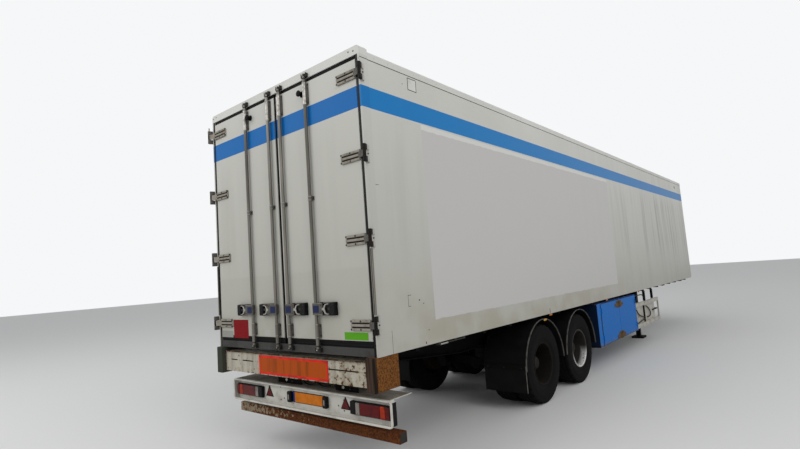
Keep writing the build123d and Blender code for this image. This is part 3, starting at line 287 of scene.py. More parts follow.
# Axles, arms and landing legs: forged and welded steel under the same black paint. The CAD
# shape is right, and only its edges are rounded, as a ground weld is.
bench = []                    # finished parts of the piece that is being put together
start = [0.0, REAR, 0.0, 1]   # place that a part's sizes are measured from, and its side


def measure_from(x=0.0, y=REAR, z=0.0, side=1):
    """Sets the place that the next sizes are measured from. On the left, side -1, they run the
    other way across."""
    start[:] = side * x, y, z, side


def both_sides(x=0.0, y=REAR, z=0.0):
    """Goes through the sides, left first, with sizes measured from the place on each."""
    for side, sign in SIDES:
        measure_from(x, y, z, sign)
        yield side
    measure_from()


def finished(piece, kind, **settings):
    """Adds a modifier with its settings and applies it."""
    bpy.context.view_layer.objects.active = piece
    modifier = piece.modifiers.new(kind.lower(), kind)
    for key, value in settings.items():
        setattr(modifier, key, value)
    bpy.ops.object.modifier_apply(modifier=modifier.name)
    return piece


def bevelled(piece, width, steps=2):
    """Rounds the piece's edges, but not the shallow ones of its round faces."""
    return finished(piece, "BEVEL", width=width, segments=steps, limit_method="ANGLE",
                    angle_limit=radians(25))


def painted(piece, mat):
    """Gives the part its material and lays it on the bench."""
    piece.data.materials.clear()
    piece.data.materials.append(mat)
    bench.append(piece)
    return piece


def alone(piece):
    """Selects only this piece."""
    bpy.ops.object.select_all(action="DESELECT")
    piece.select_set(True)
    bpy.context.view_layer.objects.active = piece


def softened(node, mat, width=0.002, steps=2):
    """Copy of a CAD node's shape with whole faces and rounded edges."""
    piece = nodes[node].copy()
    piece.data = nodes[node].data.copy()
    for key in list(piece.keys()):
        del piece[key]
    piece.parent = None
    piece.hide_render = piece.hide_viewport = False
    bpy.context.collection.objects.link(piece)
    alone(piece)
    bpy.ops.object.mode_set(mode="EDIT")
    bpy.ops.mesh.select_all(action="SELECT")
    bpy.ops.mesh.remove_doubles(threshold=0.00002)
    bpy.ops.mesh.dissolve_limited(angle_limit=radians(0.5))
    bpy.ops.object.mode_set(mode="OBJECT")
    return painted(bevelled(piece, width, steps), mat)


def joined(name, parts):
    """Joins parts into one piece and empties their list."""
    piece = parts[0]
    alone(piece)
    for part in parts:
        part.select_set(True)
    if len(parts) > 1:
        bpy.ops.object.join()
    piece.name = piece.data.name = name
    parts.clear()
    return piece


def settled(name, body, slot, *stands_for, angle=32):
    """Joins what lies on the bench to one piece, smooths its round faces, keeps its flat ones
    flat, and hangs it on its body."""
    piece = joined(name, bench)
    alone(piece)
    bpy.ops.object.shade_smooth_by_angle(angle=radians(angle))
    finished(piece, "WEIGHTED_NORMAL", keep_sharp=True)
    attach(piece, body)
    if stands_for:
        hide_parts(*stands_for)
    measure_from()


for node, width in (("axles", 0.006), ("suspension_arms", 0.004), ("landing_legs", 0.004)):
    softened(node, chassis_paint, width)
    settled(f"{node}_steel", "trailer", "chassis_paint", node)


# Lock gear: stainless tubes turn in clamp guides that are bolted to the doors. Each tube has a
# forked claw welded on at both ends, and a pressed lever that snaps into a black plastic catch.
def spot(x, y, z):
    """Point at these sizes across, forward and up from the set place."""
    return Vector((start[0] + start[3] * x, start[1] + y, start[2] + z))


def begun(kind, name, **settings):
    """Adds a primitive with nothing else selected, and names it."""
    bpy.ops.object.select_all(action="DESELECT")
    getattr(bpy.ops.mesh, f"primitive_{kind}_add")(**settings)
    piece = bpy.context.object
    piece.name = piece.data.name = name
    bpy.ops.object.transform_apply()
    return piece


def slab(name, mat, x, y, z, edge=0.002, steps=2):
    """Block between pairs of sizes, with its edges rounded."""
    corners = [spot(*corner) for corner in zip(x, y, z)]
    low, high = [Vector(map(pick, *corners)) for pick in (min, max)]
    piece = begun("cube", name, size=1, location=(low + high) / 2, scale=high - low)
    finished(piece, "BEVEL", width=edge, segments=steps, limit_method="NONE")
    return painted(piece, mat)


def drawn(name, mat, points, sweep=None, edge=0.0, steps=2):
    """Outline drawn from point to point, then filled and extruded along the sweep."""
    points = [spot(*point) for point in points]
    piece = begun("plane", name, size=0.0002, location=points[0])
    bpy.ops.object.mode_set(mode="EDIT")
    bpy.ops.mesh.merge(type="CENTER")
    for last, point in zip(points, points[1:]):
        bpy.ops.mesh.extrude_region_move(TRANSFORM_OT_translate={"value": point - last})
    if sweep:
        bpy.ops.mesh.select_all(action="SELECT")
        bpy.ops.mesh.edge_face_add()
        bpy.ops.mesh.extrude_region_move(TRANSFORM_OT_translate={"value": sweep})
        bpy.ops.mesh.select_all(action="SELECT")
        bpy.ops.mesh.normals_make_consistent(inside=False)
    bpy.ops.object.mode_set(mode="OBJECT")
    if edge:
        bevelled(piece, edge, steps)
    return painted(piece, mat)


def turned(name, mat, centre, axis, profile, steps=32, angle=2 * pi, out=None):
    """Shape turned round an axis through the centre, from pairs of place along it and radius. It
    begins at the side that out points to, and the ends of a part turn are closed."""
    along = Vector([letter == axis for letter in "XYZ"])
    out = Vector(out or [letter == ("X" if axis == "Z" else "Z") for letter in "XYZ"])
    piece = drawn(name, mat, [Vector(centre) + along * place + out * reach for place, reach in profile])
    bpy.ops.object.mode_set(mode="EDIT")
    bpy.ops.mesh.select_all(action="SELECT")
    bpy.ops.mesh.spin(steps=steps, angle=angle, center=spot(*centre), axis=along)
    bpy.ops.mesh.select_all(action="SELECT")
    bpy.ops.mesh.remove_doubles(threshold=0.00002)
    if angle < 2 * pi:
        bpy.ops.mesh.select_all(action="DESELECT")
        bpy.ops.mesh.select_non_manifold(extend=False)
        bpy.ops.mesh.edge_face_add()
        bpy.ops.mesh.select_all(action="SELECT")
    bpy.ops.mesh.normals_make_consistent(inside=False)
    bpy.ops.object.mode_set(mode="OBJECT")
    return piece


def rod(name, mat, start_at, end, radius, axis, edge=0.001, steps=20):
    """Round bar along an axis, between two places on it, with its ends eased."""
    length = end - start_at["XYZ".index(axis)]
    profile = [(0, 0), (0, radius - edge), (edge, radius)]
    profile += [(length - place, reach) for place, reach in reversed(profile)]
    return turned(name, mat, start_at, axis, profile, steps)


def bolt(name, mat, place, axis, radius, height):
    """Hexagon bolt head with a chamfered crown, standing out along an axis by a signed height."""
    turned_to = {"X": (0, pi / 2, 0), "Y": (pi / 2, 0, 0), "Z": (0, 0, 0)}[axis]
    middle = [size + (letter == axis) * height / 2 for size, letter in zip(place, "XYZ")]
    piece = begun("cylinder", name, vertices=6, radius=radius, depth=abs(height),
                  location=spot(*middle), rotation=turned_to)
    finished(piece, "BEVEL", width=radius * 0.14, segments=1, limit_method="NONE")
    return painted(piece, mat)


# Bar steel: dull stainless with brown stains that run down it.
bar_steel = worn_finish("stained_stainless", "#7a776f", "#46413a", 0.42, 0.75, 14, 0.8, 0.0003, 0.06)
# Bright stainless: clean and shiny where hands and hinges rub. Handle steel: dark and oiled.
bright_steel = worn_finish("bright_stainless", "#aaa8a2", "#6f695e", 0.36, 0.8, 30, 0.7, 0.0003)
handle_steel = worn_finish("handle_steel", "#4c4943", "#2f2b26", 0.45, 0.4, 22, 0.6, 0.0003)
# Black casting and blackened bolts: nearly black, a dull sheen on their edges. The bolt black also
# stands in for painted shade in the header's holes and the underrun tube's open ends.
dark_casting = worn_finish("black_casting", "#151412", "#2e2822", 0.5, 0.3, 60, 0.5)
dark_bolt_and_shade = worn_finish("blackened_bolt_and_shade", "#121110", "#2e2721", 0.55, 0.3, 60, 0.5)
# Moulded plastics: black catches and dark blue grips, smooth and slightly glossy.
black_plastic = worn_finish("black_plastic", "#0e0f0f", "#211f1d", 0.48)
blue_plastic = worn_finish("dark_blue_plastic", "#1c2547", "#272d44", 0.5)

BARS = (0.105, 0.538)
BAR_OUT, BAR_RADIUS = -0.028, 0.017
BAR_LOW, BAR_HIGH = [corner[2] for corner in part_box("lock_bars_right")]
CLAW_HEIGHT = 0.024
GUIDES = ((1.325, 1.460), (2.6555, 2.7055), (3.630, 3.860))
STOP_RINGS = (1.2435, 3.895)
HANDLE_Z = 1.602
# Outlines of claw and saddle from above, in millimetres, and of the latch from behind, in metres.
CLAW = ((-15, -45), (15, -45), (26, -28), (26, -11), (11, -11), (11, -28), (-11, -28), (-11, -11),
        (-26, -11), (-26, -28))
SADDLE = ((-36, 0), (-36, -6), (-24, -8), (-20, -27), (20, -27), (24, -8), (36, -6), (36, 0))
LATCH = ((0.112, -0.012), (0.132, -0.012), (0.150, -0.040), (0.178, -0.050), (0.206, -0.050),
         (0.206, -0.043), (0.181, -0.042), (0.160, -0.032), (0.150, 0.0), (0.160, 0.032),
         (0.181, 0.042), (0.206, 0.043), (0.206, 0.050), (0.178, 0.050), (0.150, 0.040),
         (0.132, 0.012), (0.112, 0.012))
SLEEVE = [(0, 0), (0, 0.0195), (0.002, 0.0208), (0.014, 0.0208), (0.016, 0.0190)]
for side, sign in SIDES:
    for bar_x in BARS:
        measure_from(bar_x, side=sign)
        rod("bar", bar_steel, (0, BAR_OUT, BAR_LOW + 0.002), BAR_HIGH - 0.002, BAR_RADIUS, "Z")
        for low, high in GUIDES:
            tall = high - low
            drawn("guide_saddle", handle_steel, [(x / 1000, y / 1000, low + 0.005) for x, y in SADDLE],
                  (0, 0, tall - 0.010), 0.002)
            sleeve_steel = bright_steel if high == GUIDES[-1][1] else bar_steel
            turned("guide_sleeve", sleeve_steel, (0, BAR_OUT, low), "Z",
                   SLEEVE + [(tall - place, reach) for place, reach in reversed(SLEEVE)], 24)
            for ring_z in (low + 0.003, high - 0.011):
                rod("guide_ring", bright_steel, (0, BAR_OUT, ring_z), ring_z + 0.008, 0.0212, "Z", 0.002)
            for bolt_z in (low + 0.022, high - 0.022):
                for bolt_x in (-0.0295, 0.0295):
                    bolt("guide_bolt", dark_bolt_and_shade, (bolt_x, -0.0062, bolt_z), "Y", 0.0065, -0.006)
        for claw_z in (BAR_LOW, BAR_HIGH - CLAW_HEIGHT):
            drawn("claw", dark_casting, [(x / 1000, y / 1000, claw_z) for x, y in CLAW],
                  (0, 0, CLAW_HEIGHT), 0.003)
            bolt("claw_bolt", bright_steel, (0, -0.0445, claw_z + CLAW_HEIGHT / 2), "Y", 0.007, -0.003)
        for ring_z in STOP_RINGS:
            rod("stop_ring", dark_casting, (0, BAR_OUT, ring_z), ring_z + 0.012, 0.0205, "Z", 0.003)
        measure_from(bar_x, z=HANDLE_Z, side=sign)
        rod("hub_tube", handle_steel, (0, BAR_OUT, -0.0535), 0.0535, 0.0235, "Z", 0.003)
        slab("lever_hub", handle_steel, (-0.028, 0.118), (-0.052, -0.0365), (-0.057, 0.057), 0.006, 3)
        # Painted highlights: the rims on the hub's top and bottom edges are a paler steel than the hub.
        for rim_z in (-0.053, 0.053):
            slab("lever_rim", bar_steel, (-0.023, 0.112), (-0.0535, -0.050),
                 (rim_z - 0.0035, rim_z + 0.0035), 0.0012)
        slab("lever_grip", blue_plastic, (-0.016, 0.070), (-0.0535, -0.050), (-0.034, 0.034), 0.0012)
        drawn("lever_latch", bright_steel, [(x, -0.0525, z) for x, z in LATCH], (0, 0.010, 0), 0.002)
        for bolt_z in (-0.036, 0.036):
            bolt("hub_bolt", dark_bolt_and_shade, (0.098, -0.0518, bolt_z), "Y", 0.006, -0.0025)
    settled(f"lock_bars_{side}_steel", f"rear_door_{side}", "stainless", f"lock_bars_{side}")

    for bar_x in BARS:
        measure_from(bar_x, z=HANDLE_Z, side=sign)
        slab("catch_base", black_plastic, (0.040, 0.284), (-0.012, 0), (-0.0625, 0.0625), 0.005, 3)
        slab("catch_filler", black_plastic, (0.040, 0.122), (-0.035, -0.01), (-0.0565, 0.0565), 0.004)
        # Painted shade: the right catches' floors are black, the left ones grey steel.
        slab("catch_floor", bar_steel if sign < 0 else dark_casting, (0.122, 0.212),
             (-0.0155, -0.0105), (-0.0525, 0.0525), 0.002)
        for rim in ((-0.0625, -0.0505), (0.0505, 0.0625)):
            slab("catch_rim", handle_steel, (0.122, 0.274), (-0.038, -0.01), rim, 0.004, 3)
        slab("catch_block", black_plastic, (0.212, 0.284), (-0.048, -0.01), (-0.0605, 0.0605), 0.010, 3)
        slab("catch_tongue", dark_casting, (0.178, 0.216), (-0.040, -0.010), (-0.012, 0.012), 0.003)
        for bolt_z in (-0.042, 0.042):
            bolt("catch_bolt", dark_bolt_and_shade, (0.260, -0.0475, bolt_z), "Y", 0.006, -0.003)
    settled(f"lever_catches_{side}", f"rear_door_{side}", "black_plastic", f"handle_boxes_{side}")

# Keepers: black cast brackets, bolted to sill and header with bright screws. The claws turn
# into them.
softened("lock_keepers", dark_casting, 0.0015)
for side, sign in SIDES:
    for bar_x in BARS:
        for middle in (BAR_LOW + CLAW_HEIGHT / 2, BAR_HIGH - CLAW_HEIGHT / 2):
            measure_from(bar_x, z=middle, side=sign)
            for bolt_x in (-0.0185, 0.0185):
                for bolt_z in (-0.0165, 0.0165):
                    bolt("keeper_bolt", bright_steel, (bolt_x, -0.0055, bolt_z), "Y", 0.0045, -0.003)
settled("lock_keepers_steel", "trailer", "stainless", "lock_keepers")


# Door hinges: a cast aluminium strap with three ribs and dark strips of dirt and painted shade
# between them, held by black bolts, and a black bracket round the corner post with a bright pin
# through both.
def overlaid(mat, axis, low, high, colour, top=1.0):
    """Lays a colour over a finished material. It rises to its top share between two places along
    the axis, 0 to 2."""
    tree = mat.node_tree
    under = tree.nodes["Principled BSDF"].inputs["Base Color"].links[0].from_socket
    where = add(tree, "TexCoord", {}).node.outputs["Object"]
    place = add(tree, "SeparateXYZ", {0: where}).node.outputs[axis]
    share = add(tree, "MapRange", {0: place, 1: low, 2: high, 4: top})
    coat(tree, {"Base Color": add(tree, "Mix", {0: share, 6: under, 7: colour})})


# Cast aluminium: pale and dull. Dirt and shade black: packed dirt, and painted shade in grooves
# and behind slots. Bracket paint: black, chipped to rust.
strap_metal = worn_finish("cast_aluminium", "#8b867c", "#5f584d", 0.6, 0.2, 18, 0.5, 0.0004)
dirt_and_shade_black = worn_finish("dirt_and_shade_black", "#26231f", "#151412", 0.9, 0, 30, 0.5)
bracket_paint = worn_finish("black_bracket_paint", "#141312", "#33291f", 0.5, 0.2, 12, 0.5)
# Bracket skin: the same black, partly painted shade, sprayed over with body white where it lies on the
# wall.
bracket_skin = worn_finish("bracket_skin", "#141312", "#33291f", 0.5, 0.2, 12, 0.5)
overlaid(bracket_skin, 1, at(-0.004), at(0.006), "#b0aea7", 0.9)

HINGES = [1.45 + step * (3.735 - 1.45) / 3 for step in range(4)]
PIN = (1.326, -0.035)
PIN_HALF, TOP_PIN_HIGH = 0.0795, 0.118
PLATE = ((1.245, -0.05), (1.004, -0.05), (0.990, -0.036), (0.990, 0.036), (1.004, 0.05), (1.245, 0.05))
ARM = ((1.230, -0.001), (1.2445, -0.001), (1.316, -0.028), (1.316, -0.042), (1.245, -0.0165),
       (1.230, -0.0165))
LUG = ((1.300, 0.006), (1.300, 0.042), (1.314, 0.042), (1.342, -0.035), (1.334, -0.051),
       (1.318, -0.051), (1.310, -0.035))
KNUCKLE = ((0, 0.0092), (0, 0.0145), (0.002, 0.016), (0.058, 0.016), (0.06, 0.0145), (0.06, 0.0092),
           (0, 0.0092))
for side, sign in SIDES:
    for hinge_z in HINGES:
        measure_from(z=hinge_z, side=sign)
        drawn("strap_plate", strap_metal, [(x, -0.010, z) for x, z in PLATE], (0, 0.010, 0), 0.0015)
        for rib_z in (-0.037, 0, 0.037):
            slab("strap_rib", strap_metal, (1.003, 1.241), (-0.0165, -0.008),
                 (rib_z - 0.0115, rib_z + 0.0115), 0.004, 3)
        # Painted shade with dirt: dark strips in the grooves between the ribs.
        for groove_z in (-0.0185, 0.0185):
            slab("strap_groove_dark", dirt_and_shade_black, (1.006, 1.236), (-0.0112, -0.009),
                 (groove_z - 0.0085, groove_z + 0.0085), 0.001, 1)
        # Painted shade: the right doors' arms are in the darker handle steel, the left ones in strap
        # metal.
        drawn("strap_arm", strap_metal if sign < 0 else handle_steel, [(x, y, -0.03) for x, y in ARM],
              (0, 0, 0.06), 0.002)
        turned("strap_knuckle", bracket_paint, (*PIN, -0.03), "Z", KNUCKLE, 24)
        for bolt_x, bolt_z in ((1.001, -0.037), (1.001, 0.037), (1.122, -0.037), (1.122, 0.037)):
            bolt("strap_bolt", dark_bolt_and_shade, (bolt_x, -0.0095, bolt_z), "Y", 0.010, -0.009)
    settled(f"door_hinge_straps_{side}_cast", f"rear_door_{side}", "stainless",
            f"door_hinge_straps_{side}")

# Hinge brackets: steel lugs on a plate that is bolted to the corner post, with a bright pin
# through them. Between the two lower ones an edge strip and a thin rod run down the post.
for side, sign in SIDES:
    # Painted shade with some dirt: the right brackets are black, the left ones grey handle steel.
    bracket_metal = handle_steel if sign < 0 else bracket_skin
    for hinge_z in HINGES:
        measure_from(z=hinge_z, side=sign)
        slab("bracket_plate", bracket_metal, (1.300, 1.308), (0.006, 0.048), (-0.08, 0.08), 0.003)
        for low in (-0.08, 0.031):
            drawn("bracket_lug", bracket_metal, [(x, y, low) for x, y in LUG], (0, 0, 0.049), 0.003)
        pin_top = TOP_PIN_HIGH if hinge_z == HINGES[-1] else PIN_HALF
        rod("hinge_pin", bright_steel, (*PIN, -PIN_HALF), pin_top, 0.0082, "Z")
        for bolt_z in (-0.055, 0, 0.055):
            bolt("bracket_bolt", dark_bolt_and_shade, (1.3075, 0.028, bolt_z), "X", 0.008, 0.006)
    measure_from(side=sign)
    low, high = HINGES[0] + 0.09, HINGES[1] - 0.09
    slab("post_edge_strip", bar_steel, (1.2945, 1.3062), (-0.005, 0.012), (low, high), 0.0025)
    slab("post_groove", dirt_and_shade_black, (1.279, 1.2950), (-0.0015, 0.002), (low, high), 0.0005, 1)
    rod("post_rod", bar_steel, (1.2870, -0.0050, low), high, 0.0048, "Z", 0.001)
settled("door_hinge_brackets_steel", "trailer", "stainless", "door_hinge_brackets")

# Door rubbers: a black extruded lip round each leaf, and a turned rubber buffer near its top
# that stops the open leaf against the wall.
# Rubber: black and matt, greyed a little by the weather.
black_rubber = worn_finish("black_rubber", "#0d0d0d", "#1f1e1c", 0.7)
BUFFER = ((0, 0), (0, 0.031), (-0.006, 0.032), (-0.010, 0.022), (-0.026, 0.022), (-0.044, 0.032),
          (-0.053, 0.031), (-0.058, 0.022), (-0.058, 0))
for side in both_sides():
    for x, z in (((0.008, 0.0198), (1.253, 3.912)), ((1.2452, 1.249), (1.253, 3.912)),
                 ((0.008, 1.249), (1.253, 1.3098)), ((0.008, 1.249), (3.8752, 3.912))):
        slab("lip", black_rubber, x, (0.0082, 0.06), z, 0.0015)
    for z in ((1.262, 1.278), (1.288, 1.304)):
        slab("lip_fold", black_rubber, (0.012, 1.246), (0.003, 0.02), z, 0.006, 3)
    turned("door_buffer", black_rubber, (0.467, 0, 3.765), "Y", BUFFER, 28)
    settled(f"door_rubbers_{side}", f"rear_door_{side}", "black_rubber", f"rear_door_rubbers_{side}")

# Blank labels on the doors: sheets of plain self-adhesive film, stuck on low down.
# Label film: flat colour, faded and a little soiled, with nothing on it.
LABELS = (("red", "left", "#74040d", (-0.982, -0.680), (1.283, 1.490)),
          ("grey", "left", "#8a8984", (-1.244, -1.000), (1.286, 1.362)),
          ("pale", "left", "#a6a59f", (-0.365, -0.272), (1.318, 1.383)),
          ("green", "right", "#4f921a", (0.890, 1.194), (1.318, 1.386)))
for name, side, colour, x, z in LABELS:
    film = worn_finish(f"{name}_film", colour, "#3d3a34", 0.6, 0, 12, 0.15, 0.0001)
    slab("label", film, x, (-0.0006, 0.0004), z, 0.0002, 1)
    settled(f"blank_label_{name}", f"rear_door_{side}", "white_body")


# Roof rail: an aluminium extrusion along each top edge, riveted every 200 mm, with a dark bead on the
# wall under it as painted shadow. Two holes are left in the header near each end, drawn as dark
# stubs that paint the shade inside them.
def copied(piece, name, move=(0, 0, 0), mirror=False, turn=None):
    """Copy with its own mesh, mirrored across the trailer's middle or turned, then moved."""
    twin = piece.copy()
    twin.data = piece.data.copy()
    twin.name = twin.data.name = name
    bpy.context.collection.objects.link(twin)
    if turn:
        angle, axis, centre = turn
        centre = Matrix.Translation(Vector(centre))
        twin.data.transform(centre @ Matrix.Rotation(angle, 4, axis) @ centre.inverted())
    if mirror:
        twin.data.transform(Matrix.Scale(-1, 4, (1, 0, 0)))
        twin.data.flip_normals()
    twin.data.transform(Matrix.Translation(Vector(move)))
    return twin


# Painted rail: pale, slightly dirty. Dark seams and shadow: nearly black and matt, the colour of real
# seams, and painted shadow under the roof rails.
rail_metal = worn_finish("painted_rail", "#c9c8c3", "#96928a", 0.45, 0, 3, 0.5, 0.0003)
seam_and_shadow_dark = worn_finish("dark_seams_and_shadow", "#2c2a27", "#4a463f", 0.8, 0, 6, 0.6)
RIVETS, RIVET_PITCH = 65, 0.2
RAIL_SHADOW_Z = (3.8795, 3.8862)
first = begun("uv_sphere", "rivet", segments=8, ring_count=4, radius=0.005,
              location=(1.2995, at(RIVET_PITCH), 3.918), rotation=(0, pi / 2, 0))
first.data.materials.append(rail_metal)
bench += [copied(first, "rail_rivet", (0, number * RIVET_PITCH, 0), mirror)
          for number in range(RIVETS) for mirror in (False, True)]
bpy.data.objects.remove(first)
for side in both_sides():
    # Painted shadow: dark beads on the wall and post under the rail's lower edge.
    slab("wall_bead", seam_and_shadow_dark, (1.2952, 1.2978), (0.004, 13.35), RAIL_SHADOW_Z, 0.001, 1)
    slab("post_bead", seam_and_shadow_dark, (1.2992, 1.3012), (0.004, 0.108), RAIL_SHADOW_Z, 0.0008, 1)
# Painted shade: dark stubs where the header's holes are.
for x, z in ((1.166, 3.966), (1.231, 3.955), (-1.271, 3.960), (-1.21, 3.968)):
    rod("header_hole", dark_bolt_and_shade, (x, -0.0012, z), 0.006, 0.008, "Y", 0.0005, 16)
settled("roof_rail_rivets", "trailer", "white_roof")

# Right wall: a small hatch near the top, its flap closed by a rubber frame, and the scars of old
# fittings that were taken off.
for y, z in (((0.690, 0.697), (3.732, 3.862)), ((0.823, 0.830), (3.732, 3.862)),
             ((0.690, 0.830), (3.732, 3.739)), ((0.690, 0.830), (3.855, 3.862))):
    slab("hatch_edge", seam_and_shadow_dark, (1.2955, 1.2975), y, z, 0.0006, 1)
slab("hatch_flap", rail_metal, (1.2955, 1.2968), (0.696, 0.824), (3.738, 3.856), 0.0005, 1)
for y, z in (((0.065, 0.158), (2.6995, 2.7035)), ((0.455, 0.459), (1.568, 1.675)),
             ((0.458, 0.505), (1.671, 1.675)), ((0.455, 0.490), (1.568, 1.572)),
             ((0.615, 0.632), (1.610, 1.622)), ((0.675, 0.695), (1.577, 1.583)),
             ((0.735, 0.746), (1.312, 1.322)), ((0.676, 0.688), (1.190, 1.212)),
             ((3.530, 3.545), (1.185, 1.245)), ((0.060, 0.085), (1.432, 1.436)),
             ((0.600, 0.612), (3.770, 3.778)), ((12.58, 12.65), (3.73, 3.80))):
    slab("wall_scar", dirt_and_shade_black, (1.2955, 1.2965), y, z, 0.0004, 1)
settled("side_hatch", "trailer", "white_body")

# Hook rail under the right wall: a bright round bar between black cast lugs, with a black tail
# bar in front of it.
for place in (0.905, 1.190, 1.345):
    slab("hook_lug", dark_casting, (1.258, 1.292), (place - 0.022, place + 0.022), (1.146, 1.1765),
         0.006, 3)
rod("hook_bar", bright_steel, (1.282, 0.925, 1.150), 1.055, 0.0085, "Y")
rod("hook_tail", dark_casting, (1.282, 1.055, 1.154), 1.36, 0.007, "Y")
settled("side_hook", "trailer", "stainless")


# Rear beam and its end posts: folded steel once painted white. Rust breaks through along the
# lip, the slots and the lower edge, more on the right. The right post is bare and brown.
def rusted_paint(name, paint, rust, share, levels=(), scale=30.0, roughness=0.5, lean=0.0, grime=0.35):
    """Old paint on steel: dirt runs down it in streaks, it stains brown round each chip, and the
    rust in the chips is darker, rough and raised. Levels are heights with more chips, each with
    its reach and weight, and lean adds chips toward the right."""
    mat, tree, where = new_material(name, paint, roughness)
    x, _, z = add(tree, "SeparateXYZ", {0: where}).node.outputs
    noise = add(tree, "TexNoise", {"Vector": where, "Scale": scale, "Detail": 10, "Roughness": 0.62})
    noise = add(tree, "Math", {0: x, 1: lean, 2: noise}, operation="MULTIPLY_ADD")
    for height, reach, weight in levels:
        away = add(tree, "Math", {0: z, 1: height}, operation="SUBTRACT")
        away = add(tree, "Math", {0: away}, operation="ABSOLUTE")
        near = add(tree, "MapRange", {0: away, 1: reach, 2: 0.0, 4: weight})
        noise = add(tree, "Math", {0: noise, 1: near}, operation="ADD")
    edge = 0.70 - 0.25 * share
    bare = add(tree, "MapRange", {0: noise, 1: edge, 2: edge + 0.035}, interpolation_type="SMOOTHSTEP")
    stain = add(tree, "MapRange", {0: noise, 1: edge - 0.13, 2: edge, 4: 0.45},
                interpolation_type="SMOOTHSTEP")
    runs = patches(tree, where, 12.0, 6, (0.4, 0.7), grime, 0.07)
    grain = add(tree, "TexNoise", {"Vector": where, "Scale": scale * 3, "Detail": 6})
    grain_mix = add(tree, "MapRange", {0: grain, 1: 0.35, 2: 0.65}, interpolation_type="SMOOTHSTEP")
    brown = add(tree, "Mix", {0: grain_mix, 6: rust, 7: "#2a1a11"})
    colour = add(tree, "Mix", {0: runs, 6: paint, 7: "#5f584a"})
    colour = add(tree, "Mix", {0: stain, 6: colour, 7: "#7d6847"})
    colour = add(tree, "Mix", {0: bare, 6: colour, 7: brown})
    rough = add(tree, "MapRange", {0: bare, 3: roughness, 4: 0.9})
    raised = add(tree, "Math", {0: bare, 1: 0.6, 2: grain}, operation="MULTIPLY_ADD")
    raised = add(tree, "Bump", {"Height": raised, "Distance": 0.0009, "Strength": 0.6})
    coat(tree, {"Base Color": colour, "Roughness": rough, "Normal": raised})
    return mat


# Beam paint: dirty white, chipped to fine rust. Lip steel: all brown-grey, no paint left.
beam_paint = rusted_paint("beam_paint", "#a9a496", "#5c3a22", 0.30,
                          ((1.036, 0.009, 0.10), (0.905, 0.04, 0.09)), 26, lean=0.05, grime=0.55)
lip_steel = rusted_paint("lip_steel", "#4a4038", "#3d281b", 0.9, (), 20, 0.75)
softened("rear_beam", beam_paint, 0.003)
slab("beam_lip", lip_steel, (-1.180, 1.180), (-0.0145, 0.016), (1.1235, 1.1325), 0.002)
for side in both_sides():
    slab("beam_lip_end", lip_steel, (1.166, 1.180), (-0.012, 0.010), (1.085, 1.130), 0.004)
    slab("beam_seam", lip_steel, (1.166, 1.179), (-0.004, 0.02), (0.907, 1.124), 0.002)
for x in ((-1.10, -0.60), (0.62, 1.165)):
    slab("slot_shade", dirt_and_shade_black, x, (0.0065, 0.011), (1.018, 1.054), 0.001, 1)
for x, z in ((-0.90, 1.085), (-0.60, 0.955), (0.72, 0.962), (0.97, 1.085), (1.10, 0.950),
             (1.12, 1.080)):
    bolt("beam_bolt", dark_bolt_and_shade, (x, 0.0005, z), "Y", 0.007, -0.004)
settled("rear_beam_steel", "trailer", "worn_white_steel", "rear_beam")

# Post steel: on the right orange-brown rust in even speckles on the side plate and dark brown,
# streaked rust on the rear face, on the left old grey-green paint.
post_steel, tree, where = new_material("post_steel", "#7c4d22", 0.85)
x, y, _ = add(tree, "SeparateXYZ", {0: where}).node.outputs
speckle = add(tree, "TexNoise", {"Vector": where, "Scale": 70.0, "Detail": 8, "Roughness": 0.7})
speckles = add(tree, "MapRange", {0: speckle, 1: 0.42, 2: 0.60})
colour = add(tree, "Mix", {0: speckles, 6: "#784c22", 7: "#432915"})
streaks = patches(tree, where, 30.0, 6, (0.4, 0.62), 1.0, 0.06, blend="LINEAR")
dark = add(tree, "Mix", {0: streaks, 6: "#41332a", 7: "#1d1610"})
rear_face = add(tree, "Math", {0: y, 1: at(-0.020)}, operation="LESS_THAN")
colour = add(tree, "Mix", {0: rear_face, 6: colour, 7: dark})
left = add(tree, "Math", {0: x, 1: 0.0}, operation="LESS_THAN")
colour = add(tree, "Mix", {0: left, 6: colour, 7: "#393b34"})
pits = add(tree, "Bump", {"Height": speckle, "Distance": 0.001, "Strength": 0.7})
coat(tree, {"Base Color": colour, "Normal": pits})
softened("corner_buffers", post_steel, 0.006, 3)
for side in both_sides():
    for x in (1.198, 1.236, 1.274):
        slab("post_edge", post_steel, (x - 0.007, x + 0.007), (-0.0535, -0.02), (0.884, 1.172), 0.005, 3)
settled("rear_end_posts", "trailer", "black_rubber", "corner_buffers")

# Marker board: reflective sheet on aluminium, orange in the middle with a red border, faded and
# streaked with dirt. It is plain, with nothing on it.
low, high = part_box("marker_board")
BORDER, RIVET_IN = 0.024, 0.014
